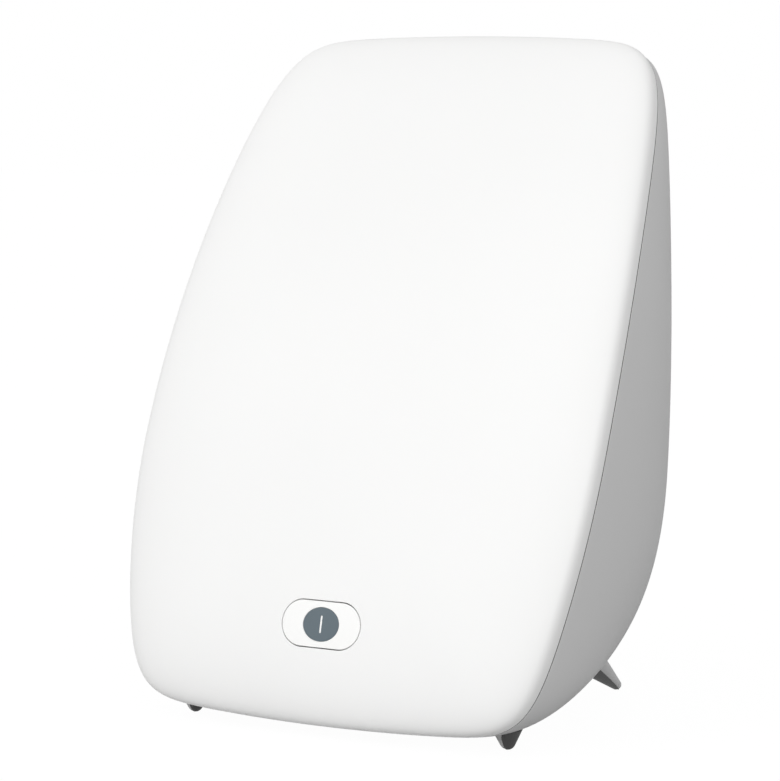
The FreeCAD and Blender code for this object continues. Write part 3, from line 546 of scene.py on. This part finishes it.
def seam_cap(inset, depth, shares):
    """Rows that close a form across the seam, from near its middle to near its edge, and a pole."""
    x, a = inset_outline(TURNS, inset)
    tip = bend(np.array([0.0]), np.array([WIDEST]), np.array([depth]))
    return [bend(x * s, WIDEST + (a - WIDEST) * s, depth + 0 * x) for s in shares], tip


print("the back's flat is", 2 * BACK_HALF_WIDTH, "mm wide")

# %% [markdown]
# ## Two solids for the housing
# The wall comes from two closed solids, one inside the other by the wall's thickness. The inner one
# runs forward past the seam, so that taking it away also opens the front. The outer one has a very
# small radius at the seam, because the cover must meet it in a fine line.

# %% Solids of the housing
CRISP_RADIUS = 0.12                             # of the housing's edge at the seam
HOLLOW_REACH = 12.0                             # of the hollow, in front of the seam
CAP_ROWS, HOLLOW_CAP_ROWS, ROWS_UNDER_EDGE = 12, 4, 3


def outer_solid():
    """The housing's outer form, closed at the seam by the seam's own curved surface. The crisp
    edge takes the place of the skin's first few rows."""
    skin, pole = housing_rings(0.0, SKIN_ROWS)
    cap, tip = seam_cap(0.0, HALF_JOINT, np.linspace(0.05, 0.9, CAP_ROWS))
    edge = []
    for q in QUARTER:
        x, a = inset_outline(TURNS, CRISP_RADIUS * (1 - math.sin(q)))
        edge.append(bend(x, a, HALF_JOINT + CRISP_RADIUS * (1 - math.cos(q)) + 0 * x))
    rings = np.concatenate([np.stack(cap + edge), skin[ROWS_UNDER_EDGE:]])
    return grid_mesh("housing_outer", rings, tip, pole[None])


def inner_solid():
    """The hollow inside the housing, run forward past the seam so that it opens the front."""
    skin, pole = housing_rings(HOUSING_WALL, HOLLOW_ROWS)
    front, tip = seam_cap(HOUSING_WALL, -HOLLOW_REACH, np.linspace(0.05, 1.0, HOLLOW_CAP_ROWS))
    return grid_mesh("housing_inner", np.concatenate([np.stack(front), skin]), tip, pole[None])


housing = add_piece("housing_moulding", outer_solid())
hollow = add_piece("housing_hollow", inner_solid())

# %% [markdown]
# ## Openings in the back
# Warm air leaves through two rows of slots in the back, and the mains lead plugs into a pocket
# under them. Each opening is a prism with softened corners, long enough to reach through the wall
# wherever that is. All the prisms are joined in one mesh, so that taking them away is one cut.

# %% Prisms
def prism(name, outline, y0, y1):
    """A closed prism along Y: an outline of (x, z) points, repeated at two depths."""
    x, z = outline
    ends = [np.stack([x, np.full_like(x, y + Y_SHIFT), z], axis=-1) * MM for y in (y0, y1)]
    return grid_mesh(name, np.stack(ends), *[end.mean(axis=0, keepdims=True) for end in ends])


def rounded_outline(cx, cz, width, height, corner, steps=8):
    """Outline of a rounded rectangle, as four quarter turns joined by its sides."""
    quarter_turn = np.linspace(0, np.pi / 2, steps)
    turn = np.concatenate([quarter_turn + k * np.pi / 2 for k in range(4)])
    sx = np.repeat([1, -1, -1, 1], steps) * (width / 2 - corner)
    sz = np.repeat([1, 1, -1, -1], steps) * (height / 2 - corner)
    return cx + sx + corner * np.cos(turn), cz + sz + corner * np.sin(turn)


def joined(name, meshes):
    """One mesh from several, all facing outwards."""
    points, faces, start = [], [], 0
    for mesh in meshes:
        if signed_volume(mesh) < 0:
            mesh.flip_normals()
        co = np.zeros(len(mesh.vertices) * 3)
        mesh.vertices.foreach_get("co", co)
        points.append(co.reshape(-1, 3))
        faces += [tuple(v + start for v in p.vertices) for p in mesh.polygons]
        start += len(mesh.vertices)
    whole = bpy.data.meshes.new(name)
    whole.from_pydata(np.vstack(points), [], faces)
    whole.update()
    return whole


print("a rounded rectangle has", len(rounded_outline(0, 0, 2, 2, 0.5)[0]), "points")

# %% Vents, pocket and inlet
VENT_HEIGHTS, VENT_COUNT, VENT_PITCH = (318.0, 132.0), 11, 9.0
VENT_WIDTH, VENT_LENGTH = 3.0, 30.0
VENT_CORNER = 0.497 * VENT_WIDTH                # nearly half the width, for round ends
INLET_HEIGHT, INLET_WIDTH, INLET_BODY, INLET_CORNER = 93.0, 21.0, 13.6, 0.6
POCKET_WIDTH, POCKET_HEIGHT, POCKET_WALL, POCKET_CORNER = 40.0, 30.0, 2.4, 2.0
WALL_CORNER, CUT_PAST = 4.0, 0.5                # outside the pocket, and how far a cut overruns
BEHIND = 230.0                                  # a depth well behind the lamp

cutters = []
for height in VENT_HEIGHTS:
    for i in range(VENT_COUNT):
        vent_x = (i - (VENT_COUNT - 1) / 2) * VENT_PITCH
        vent = rounded_outline(vent_x, height, VENT_WIDTH, VENT_LENGTH, VENT_CORNER)
        cutters.append(prism("slot", vent, HOUSING_DEPTH / 2, BEHIND))
pocket = rounded_outline(0, INLET_HEIGHT, POCKET_WIDTH, POCKET_HEIGHT, POCKET_CORNER)
cutters.append(prism("pocket", pocket, POCKET_FLOOR, BEHIND))
inlet = rounded_outline(0, INLET_HEIGHT, INLET_WIDTH, INLET_BODY, INLET_CORNER)
cutters.append(prism("inlet_hole", inlet, POCKET_FLOOR / 2, POCKET_FLOOR + CUT_PAST))
openings = add_piece("openings", joined("openings", cutters))

# %% [markdown]
# ## Cutting the housing
# The pocket needs walls of its own, so the hollow first gives up a block where they stand. Then the
# hollow and the openings are taken from the housing. A Boolean modifier does each cut, and its
# result is kept as the mesh, because the tools are thrown away afterwards.

# %% Cut the solids
HOUSING_SHARP = 30.0                            # degrees, so that the openings' edges stay crisp


def cut(target, tool):
    """Takes one solid from another and keeps the result in the target's mesh."""
    change = target.modifiers.new("cut", "BOOLEAN")
    change.operation, change.solver, change.object = "DIFFERENCE", "MANIFOLD", tool
    graph = bpy.context.evaluated_depsgraph_get()
    result = bpy.data.meshes.new_from_object(target.evaluated_get(graph))
    target.modifiers.clear()
    target.data = result


walls = rounded_outline(
    0, INLET_HEIGHT, POCKET_WIDTH + 2 * POCKET_WALL, POCKET_HEIGHT + 2 * POCKET_WALL, WALL_CORNER)
keep = add_piece("pocket_walls", prism("pocket_walls", walls, POCKET_FLOOR - POCKET_WALL, BEHIND))
cut(hollow, keep)
cut(housing, hollow)
cut(housing, openings)
for tool in (hollow, keep, openings):
    bpy.data.objects.remove(tool)
smooth(housing.data, HOUSING_SHARP)
print("housing", len(housing.data.polygons), "faces", round(signed_volume(housing.data) * 1e6, 1), "cm3")
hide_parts("rear_housing")
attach(housing, "lamp")

# %% [markdown]
# ## The dark strip in the seam
# A dark strip fills the fine gap between the two mouldings. It is painted shade, standing in for the
# shade deep inside the seam. Its section is a T on its side: the foot of the T fills the gap, and its
# bar stands inside both walls. From outside it is only a dark line, which is why it is one more ring
# carried round the outline.

# %% Seal
SHADE_STRIP_SINK, SHADE_STRIP_SLACK = 0.2, 0.03               # below the outside, and off each moulding's edge
SHADE_STRIP_CLEAR, SHADE_STRIP_BAR = 0.1, 1.3                 # off the housing's wall, and the bar's thickness
BAR_BEHIND, BAR_BEFORE = 6.0, 4.0               # how far the bar runs either side of the seam


def shade_strip_rings():
    """Rows round the section of the seam's dark strip of painted shade: each corner of the T is an
    inset from the outline and a depth behind the seam."""
    rows = []
    thick = HALF_JOINT - SHADE_STRIP_SLACK
    near = HOUSING_WALL + SHADE_STRIP_CLEAR
    far = near + SHADE_STRIP_BAR
    section = ((SHADE_STRIP_SINK, -thick), (SHADE_STRIP_SINK, thick), (near, thick), (near, BAR_BEHIND),
               (far, BAR_BEHIND), (far, -BAR_BEFORE), (near, -BAR_BEFORE), (near, -thick))
    for inset, depth in section:
        x, a = inset_outline(TURNS, inset)
        rows.append(bend(x, a, depth + 0 * x))
    return np.stack(rows)


seam_shade = add_piece("seam_shade_strip", grid_mesh("seam_shade_strip", shade_strip_rings(), loop=True))
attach(seam_shade, "lamp")

# %% [markdown]
# ## The surface of a foot
# Each foot is a round-tipped cone: short under the front, and at the back a long tongue that runs
# out backwards to keep so tall a lamp from tipping. Cones and spheres from the menu would have to
# be joined and cut. Here foot and pad come from one surface, with its place given round the cone
# and along it, so the pad follows the foot exactly and only stands a little proud. The dark pads are
# partly painted shade: on the front feet they sit on the right side of both feet, where the body
# shades them, and on the rear feet they run along the underside, a rubber sole that also stands for
# the shade there.

# %% Foot and pad meshes
FOOT_FLAT, PAD_PROUD = 0.3, 0.35                # what the floor takes off a pad, and its height
FOOT_LIFT = 0.3                                 # the least height of the hard foot off the floor
PAD_ROOT, PAD_POWER = 1.0, 3.5                  # how deep the pad's back lies, and its corners
ROUND_STEPS, TIP_ROWS, CONE_ROWS, PAD_ROWS = 96, 18, 30, 16
PAD_START, PAD_TOP = 0.08, 0.95                 # shares of the pad where its top starts and ends
Foot = namedtuple("Foot", "x y lean tip flare length")      # tip is a radius, flare its growth
Pad = namedtuple("Pad", "middle half start stop")           # angles round the cone, places along


def foot_point(foot, around, along, out, lowest):
    """Point on a sphere (along < 0) that runs on into a cone touching it (along > 0), turned by
    the lean. The angle around starts at +X, and out is the height over the surface."""
    slope = math.atan(foot.flare)
    bow = np.minimum(along, 0) / foot.tip - slope
    reach = (foot.tip + out) * np.cos(bow) + np.maximum(along, 0) * math.sin(slope)
    up = (foot.tip + out) * np.sin(bow) + np.maximum(along, 0) * math.cos(slope)
    side, back = reach * np.cos(around), reach * np.sin(around)
    py = foot.y + Y_SHIFT + back * math.cos(foot.lean) - up * math.sin(foot.lean)
    pz = foot.tip + PAD_PROUD - FOOT_FLAT + back * math.sin(foot.lean) + up * math.cos(foot.lean)
    return np.stack([foot.x + side, py, np.maximum(pz, lowest)], axis=-1) * MM


def foot_mesh(name, foot):
    """The foot's closed skin: rings from its tip to its root, which is buried in the housing."""
    around = np.linspace(0, 2 * np.pi, ROUND_STEPS, endpoint=False)
    end = -foot.tip * (math.pi / 2 - math.atan(foot.flare))
    cone = np.linspace(0, foot.length, CONE_ROWS)[1:]
    along = np.concatenate([np.linspace(end, 0, TIP_ROWS)[1:], cone])
    rings = foot_point(foot, around[None, :], along[:, None], 0.0, FOOT_LIFT)
    pole = foot_point(foot, np.zeros(1), np.full(1, end), 0.0, FOOT_LIFT)
    return grid_mesh(name, rings, pole, rings[-1].mean(axis=0, keepdims=True))


def pad_mesh(name, foot, pad):
    """The pad's closed skin: a superellipse patch of the same surface, with a soft edge and a
    buried back. Its dark finish is partly painted shade."""
    way = np.linspace(0, 2 * np.pi, ROUND_STEPS, endpoint=False)
    across, lengthwise = superellipse(way, PAD_POWER)
    top = np.linspace(PAD_START, PAD_TOP, PAD_ROWS)
    soft = PAD_TOP + (1 - PAD_TOP) * np.sin(QUARTER[1:])
    shares = np.concatenate([top, soft, [1.0, PAD_START]])
    fall = PAD_PROUD - PAD_PROUD * (1 - np.cos(QUARTER[1:]))
    outs = np.concatenate([np.full(PAD_ROWS, PAD_PROUD), fall, [-PAD_ROOT, -PAD_ROOT]])[:, None]
    around = pad.middle + pad.half * shares[:, None] * across
    along = (pad.start + pad.stop) / 2 + (pad.stop - pad.start) / 2 * shares[:, None] * lengthwise
    rings = foot_point(foot, around, along, outs, 0.0)
    first, last = rings[0].mean(axis=0, keepdims=True), rings[-1].mean(axis=0, keepdims=True)
    return grid_mesh(name, rings, first, last)


print("pads stand", PAD_PROUD, "mm proud, and the floor flattens them by", FOOT_FLAT, "mm")

# %% Feet and pads
FRONT_FOOT = Foot(x=99.5, y=22.1, lean=math.radians(4), tip=4.3, flare=0.5, length=8.0)
REAR_FOOT = Foot(x=79.0, y=196.4, lean=math.radians(60), tip=2.8, flare=0.139, length=92.0)
# Front pads face the right on both feet, where the body shades them: painted shade. Rear pads lie along
# the underside: a rubber sole and painted shade.
FRONT_PAD = Pad(middle=math.radians(-12), half=math.radians(80), start=-4.6, stop=10.0)
REAR_PAD = Pad(middle=math.radians(-90), half=math.radians(57), start=-3.6, stop=76.0)
feet, pads = [], []
for end, foot, pad in (("front", FRONT_FOOT, FRONT_PAD), ("rear", REAR_FOOT, REAR_PAD)):
    for side, sign in (("left", -1), ("right", 1)):
        where = end + "_" + side
        placed = foot._replace(x=sign * foot.x)
        moulding = add_piece("foot_moulding_" + where, foot_mesh("foot_moulding_" + where, placed))
        rubber_and_shade = add_piece("foot_rubber_" + where, pad_mesh("foot_rubber_" + where, placed, pad))
        for piece, node, slot in ((moulding, "foot", "feet"), (rubber_and_shade, "pad", "pads")):
            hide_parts(node + "_" + where)
            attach(piece, "lamp")
        feet.append(moulding)
        pads.append(rubber_and_shade)

# %% [markdown]
# ## Texture of moulded plastic
# Moulded plastic is never quite even. Its surface carries a very fine texture from the mould, and
# its gloss wanders slowly. Image textures would need the pieces unwrapped. Noise over the object's
# own coordinates needs nothing, and one node group makes it for every plastic.

# %% Helpers for nodes
def feed(tree, socket, given):
    """Sets an input to a number, or links it to another node's output."""
    if isinstance(given, (int, float)):
        socket.default_value = given
    else:
        tree.links.new(given, socket)


def spread(tree, value, low, high, start=0.0, end=1.0):
    """A value between low and high, in proportion to where an input lies from start to end."""
    node = tree.nodes.new("ShaderNodeMapRange")
    node.inputs["From Min"].default_value = start
    node.inputs["From Max"].default_value = end
    feed(tree, node.inputs["Value"], value)
    feed(tree, node.inputs["To Min"], low)
    feed(tree, node.inputs["To Max"], high)
    return node.outputs["Result"]


def noise(tree, coordinates, scale, detail):
    """Noise over the object's coordinates."""
    node = tree.nodes.new("ShaderNodeTexNoise")
    node.inputs["Detail"].default_value = detail
    feed(tree, node.inputs["Vector"], coordinates)
    feed(tree, node.inputs["Scale"], scale)
    return node.outputs["Fac"]


def new_group(name, inputs, outputs):
    """An empty shader node group with float inputs (name, value) and outputs by name."""
    group = bpy.data.node_groups.new(name, "ShaderNodeTree")
    for label, value in inputs:
        socket = group.interface.new_socket(label, in_out="INPUT", socket_type="NodeSocketFloat")
        socket.default_value = value
    for label in outputs:
        group.interface.new_socket(label, in_out="OUTPUT", socket_type="NodeSocketFloat")
    return group, group.nodes.new("NodeGroupInput"), group.nodes.new("NodeGroupOutput")


# %% Mould texture
NOISE_LOW, NOISE_HIGH = 0.3, 0.7                # where nearly all of a noise's values lie
GLOSS_SCALE, TONE_SCALE = 14.0, 5.0             # waves of gloss and tone over a metre


def make_mould_texture():
    """Group: fine mould texture as a height, and gloss and tone that wander slowly."""
    group, given, out = new_group(
        "mould_texture",
        [("Grain Scale", 900.0), ("Rough Low", 0.3), ("Rough High", 0.4)],
        ["Height", "Roughness", "Tone"],
    )
    place = group.nodes.new("ShaderNodeTexCoord").outputs["Object"]
    fine = noise(group, place, given.outputs["Grain Scale"], 2.0)
    slow = noise(group, place, GLOSS_SCALE, 4.0)
    broad = noise(group, place, TONE_SCALE, 2.0)
    low, high = given.outputs["Rough Low"], given.outputs["Rough High"]
    group.links.new(fine, out.inputs["Height"])
    group.links.new(spread(group, slow, low, high, NOISE_LOW, NOISE_HIGH), out.inputs["Roughness"])
    group.links.new(spread(group, broad, 0.0, 1.0, NOISE_LOW, NOISE_HIGH), out.inputs["Tone"])
    return group


mould_texture = make_mould_texture()
print("group", mould_texture.name, "with", len(mould_texture.nodes), "nodes")

# %% [markdown]
# ## Plastic and metal
# A material takes its even values on the shader itself, and only what changes over the surface goes
# through nodes. Two near tones are mixed by the group's slow noise, which is enough to keep a white
# face from looking like flat paint. Metal is the same material with its relief drawn out in lines.

# %% Plastic
def plastic(name, tone_a, tone_b, rough, grain=900.0, bump=0.02, coat=0.0, coat_rough=0.1, shine=0.5):
    """A moulded plastic from two near tones, a range of roughness and a grain."""
    material = bpy.data.materials.new(name)
    material.use_nodes = True
    tree = material.node_tree
    shader = tree.nodes["Principled BSDF"]
    shader.inputs["Specular IOR Level"].default_value = shine
    shader.inputs["Coat Weight"].default_value = coat
    shader.inputs["Coat Roughness"].default_value = coat_rough
    group = tree.nodes.new("ShaderNodeGroup")
    group.node_tree = mould_texture
    group.inputs["Grain Scale"].default_value = grain
    group.inputs["Rough Low"].default_value = rough[0]
    group.inputs["Rough High"].default_value = rough[1]
    mix = tree.nodes.new("ShaderNodeMix")
    mix.data_type = "RGBA"
    mix.inputs["A"].default_value = (*tone_a, 1)
    mix.inputs["B"].default_value = (*tone_b, 1)
    tree.links.new(group.outputs["Tone"], mix.inputs["Factor"])
    tree.links.new(mix.outputs["Result"], shader.inputs["Base Color"])
    tree.links.new(group.outputs["Roughness"], shader.inputs["Roughness"])
    relief = tree.nodes.new("ShaderNodeBump")
    relief.inputs["Strength"].default_value = bump
    relief.inputs["Distance"].default_value = 0.0002
    tree.links.new(group.outputs["Height"], relief.inputs["Height"])
    tree.links.new(relief.outputs["Normal"], shader.inputs["Normal"])
    return material


# %% Metal
LINE_STRETCH = (40.0, 40.0, 1200.0)             # squeezes the noise into lines across Z


def metal(name, tone_a, tone_b, rough):
    """A drawn metal: the plastic's tones and gloss, with its relief from noise in fine lines."""
    material = plastic(name, tone_a, tone_b, rough, bump=0.03)
    tree = material.node_tree
    tree.nodes["Principled BSDF"].inputs["Metallic"].default_value = 1.0
    mapping = tree.nodes.new("ShaderNodeMapping")
    mapping.inputs["Scale"].default_value = LINE_STRETCH
    place = tree.nodes.new("ShaderNodeTexCoord")
    tree.links.new(place.outputs["Object"], mapping.inputs["Vector"])
    lines = noise(tree, mapping.outputs["Vector"], 10.0, 2.0)
    tree.links.new(lines, tree.nodes["Bump"].inputs["Height"])
    return material


print("plastic and metal both use the group", mould_texture.name)

# %% [markdown]
# ## The finishes
# The cover and the key are glossy white mouldings, the cover with a softer shine because light has
# to pass through it evenly. The housing and the feet are a fine satin grey with little shine. The
# parts inside are never seen unless the lamp is opened, and each still has its own finish.

# %% Finishes outside
finishes = {
    "diffuser": plastic(
        "diffuser_white", (0.88, 0.88, 0.875), (0.90, 0.90, 0.895), (0.42, 0.48),
        grain=1200.0, bump=0.01, coat=0.05, coat_rough=0.25, shine=0.35),
    "housing": plastic(
        "housing_grey", (0.66, 0.66, 0.66), (0.69, 0.69, 0.69), (0.55, 0.62),
        grain=1500.0, bump=0.05, shine=0.12),
    "key": plastic(
        "key_white", (0.88, 0.88, 0.87), (0.91, 0.91, 0.90), (0.30, 0.36),
        grain=1200.0, bump=0.01, coat=0.2, coat_rough=0.12),
    "disc": plastic(
        "disc_slate", (0.075, 0.108, 0.130), (0.085, 0.120, 0.143), (0.38, 0.46),
        grain=1500.0, bump=0.05),
    "feet": plastic(
        "feet_grey", (0.64, 0.64, 0.64), (0.67, 0.67, 0.67), (0.55, 0.62),
        grain=1500.0, bump=0.05, shine=0.12),
    # Dark pads: partly a rubber sole, partly painted shade on the feet's shaded sides.
    "pads": plastic(
        "pad_rubber_and_shade", (0.035, 0.035, 0.035), (0.05, 0.05, 0.05), (0.55, 0.7),
        grain=1100.0, bump=0.15),
    "inlet": plastic("inlet_black", (0.015, 0.015, 0.015), (0.025, 0.025, 0.025), (0.35, 0.45)),
}
print("finishes outside", len(finishes))

# %% Finishes inside
finishes.update({
    "switch": plastic("switch_black", (0.02, 0.02, 0.02), (0.03, 0.03, 0.03), (0.4, 0.5)),
    "inner_plastic": plastic("inner_white", (0.80, 0.80, 0.77), (0.84, 0.84, 0.81), (0.4, 0.5)),
    "chassis": plastic(
        "chassis_enamel", (0.72, 0.72, 0.72), (0.78, 0.78, 0.78), (0.35, 0.45),
        grain=700.0, bump=0.05),
    "reflector": plastic(
        "reflector_enamel", (0.88, 0.88, 0.88), (0.92, 0.92, 0.92), (0.2, 0.28),
        grain=500.0),
    "lamp_glass": plastic(
        "lamp_phosphor", (0.86, 0.87, 0.88), (0.90, 0.91, 0.92), (0.12, 0.2),
        bump=0.01, coat=0.5, coat_rough=0.05),
    "lamp_base": plastic("lamp_base_white", (0.75, 0.75, 0.73), (0.8, 0.8, 0.78), (0.3, 0.4)),
    "contacts": metal("contact_brass", (0.70, 0.52, 0.24), (0.78, 0.60, 0.30), (0.2, 0.35)),
    "ballast_case": metal("ballast_zinc", (0.55, 0.56, 0.57), (0.66, 0.67, 0.68), (0.3, 0.42)),
    "board": plastic(
        "board_green", (0.03, 0.12, 0.05), (0.04, 0.16, 0.07), (0.3, 0.4),
        grain=400.0, bump=0.1),
    "coils": plastic("coil_tape", (0.62, 0.48, 0.10), (0.68, 0.54, 0.14), (0.35, 0.45)),
    "capacitors": plastic("capacitor_sleeve", (0.02, 0.03, 0.09), (0.03, 0.04, 0.12), (0.25, 0.35)),
    "terminal": plastic("terminal_cream", (0.74, 0.73, 0.66), (0.78, 0.77, 0.70), (0.35, 0.45)),
    "screws": metal("screw_zinc", (0.55, 0.56, 0.58), (0.68, 0.69, 0.70), (0.25, 0.38)),
    "mains_lead": plastic(
        "mains_lead_black", (0.015, 0.015, 0.015), (0.025, 0.025, 0.025), (0.45, 0.6)),
    "leads": plastic("lead_white", (0.72, 0.72, 0.71), (0.78, 0.78, 0.77), (0.45, 0.55)),
})
print("finishes", len(finishes))

# %% [markdown]
# ## Dressing the pieces
# The engineering model says which finish each of its nodes has. The pieces made above get theirs
# one by one, from the same table.

# %% Give every piece its finish
def wear(piece, slot):
    """Gives a piece one finish in place of whatever it had."""
    piece.data.materials.clear()
    piece.data.materials.append(finishes[slot])


slot_of = {s["node"]: s["material_slot"] for s in frame["record"]["subparts"]}
for name, node in nodes.items():
    wear(node, slot_of[name])
# The seam's dark strip takes the black switch finish: painted shade in the seam.
dressed = [(cover, "diffuser"), (housing, "housing"), (seam_shade, "switch"),
           (key, "key"), (disc, "disc"), (stroke, "key")]
# The pads' dark finish is partly painted shade.
dressed += [(piece, "feet") for piece in feet] + [(piece, "pads") for piece in pads]
for piece, slot in dressed:
    wear(piece, slot)
print("dressed", len(nodes), "nodes and", len(dressed), "pieces")

# %% [markdown]
# ## Floor and world
# The lamp stands in a white studio. Making the floor and the world bright enough to look white
# would also flood the lamp with light, and its white face would lose its shape. So both are white
# only to the rays that show them, straight or mirrored, and give off little light of their own.

# %% Which rays show the backdrop
FLOOR_TONE, FLOOR_GLOW, FLOOR_SHARE = 0.4, 1.08, 0.9    # its own grey, and how white it is shown


def seen_directly(tree):
    """1 for rays that show the backdrop itself: straight, mirrored or through glass. Else 0."""
    rays = tree.nodes.new("ShaderNodeLightPath")
    total = rays.outputs["Is Camera Ray"]
    for kind in ("Is Glossy Ray", "Is Transmission Ray"):
        more = tree.nodes.new("ShaderNodeMath")
        more.operation = "MAXIMUM"
        tree.links.new(total, more.inputs[0])
        tree.links.new(rays.outputs[kind], more.inputs[1])
        total = more.outputs["Value"]
    return total


def white_floor():
    """A matt grey that turns mostly to plain white where it is seen directly. The grey that is
    left keeps the lamp's shadow."""
    material = bpy.data.materials.new("floor_white")
    material.use_nodes = True
    tree = material.node_tree
    grey = tree.nodes["Principled BSDF"]
    grey.inputs["Base Color"].default_value = (FLOOR_TONE, FLOOR_TONE, FLOOR_TONE, 1)
    grey.inputs["Roughness"].default_value = 0.9
    glow = tree.nodes.new("ShaderNodeEmission")
    glow.inputs["Strength"].default_value = FLOOR_GLOW
    blend = tree.nodes.new("ShaderNodeMixShader")
    tree.links.new(spread(tree, seen_directly(tree), 0.0, FLOOR_SHARE), blend.inputs["Fac"])
    tree.links.new(grey.outputs["BSDF"], blend.inputs[1])
    tree.links.new(glow.outputs["Emission"], blend.inputs[2])
    tree.links.new(blend.outputs["Shader"], tree.nodes["Material Output"].inputs["Surface"])
    return material


floor_mesh = bpy.data.meshes.new("floor")
floor_mesh.from_pydata([(-6, -6, 0), (6, -6, 0), (6, 6, 0), (-6, 6, 0)], [], [(0, 1, 2, 3)])
floor_mesh.materials.append(white_floor())
floor = new_object("floor", floor_mesh)
print("floor", [round(v, 1) for v in floor.dimensions], "m")

# %% [markdown]
# The world's own light is brighter from the front left and dimmer behind, as in a room with one
# large window. That is what makes the housing darken as it turns away.

# %% World
WINDOW = Vector((-0.35, -0.85, 0.4)).normalized()       # where the room is brightest
ROOM_DIM, ROOM_BRIGHT = 0.12, 0.88

world = bpy.data.worlds.new("studio")
bpy.context.scene.world = world
world.use_nodes = True
tree = world.node_tree
backdrop = tree.nodes["Background"]
backdrop.inputs["Color"].default_value = (1, 1, 1, 1)
sky = tree.nodes.new("ShaderNodeTexCoord")
towards = tree.nodes.new("ShaderNodeVectorMath")
towards.operation = "DOT_PRODUCT"
towards.inputs[1].default_value = WINDOW
tree.links.new(sky.outputs["Generated"], towards.inputs[0])
room = spread(tree, towards.outputs["Value"], ROOM_DIM, ROOM_BRIGHT, -1.0, 1.0)
tree.links.new(spread(tree, seen_directly(tree), room, 1.0), backdrop.inputs["Strength"])
print("room from", ROOM_DIM, "to", ROOM_BRIGHT)

# %% [markdown]
# ## Lights
# Two large soft panels light the lamp. One stands in front on the left and lights the face evenly.
# The other stands on the right, so that the housing's side is grey and not black. Both are large
# and near, because small lamps would leave hard streaks along the cover's edge.

# %% Lights
def look_along(thing, way):
    """Turns a light or a camera to look along a direction, with its top upwards."""
    thing.rotation_euler = way.to_track_quat("-Z", "Y").to_euler()


def panel_light(name, place, aim, size, power):
    """A square soft light that faces a point."""
    light = bpy.data.lights.new(name, "AREA")
    light.shape, light.size, light.energy = "SQUARE", size, power
    lamp = new_object(name, light)
    lamp.location = place
    look_along(lamp, Vector(aim) - Vector(place))
    print(name, size, "m square,", power, "W")
    return lamp


panel_light("front_panel", (-1.5, -2.9, 1.5), (0, 0, 0.2), 2.6, 32)
panel_light("right_panel", (2.3, -2.05, 1.2), (0, 0, 0.2), 1.7, 31)

# %% [markdown]
# ## Camera
# A long lens from nearly two metres keeps the lamp's upright lines almost parallel, as a catalogue
# view does. The camera is placed by its distance and its two angles from a point inside the lamp.

# %% Camera
camera = new_object("camera", bpy.data.cameras.new("camera"))
bpy.context.scene.camera = camera
target = Vector((-0.00829, 0.0837 + Y_SHIFT * MM, 0.18083))
distance, azimuth, elevation = 1.8253, math.radians(30.0), math.radians(6.126)
away = Vector((
    math.sin(azimuth) * math.cos(elevation),
    -math.cos(azimuth) * math.cos(elevation),
    math.sin(elevation),
))
camera.location = target + distance * away
look_along(camera, -away)
camera.data.lens = 150.23
camera.data.sensor_width = 36
print("camera at", [round(v, 4) for v in camera.location])
bpy.context.scene.view_settings.view_transform = "Standard"
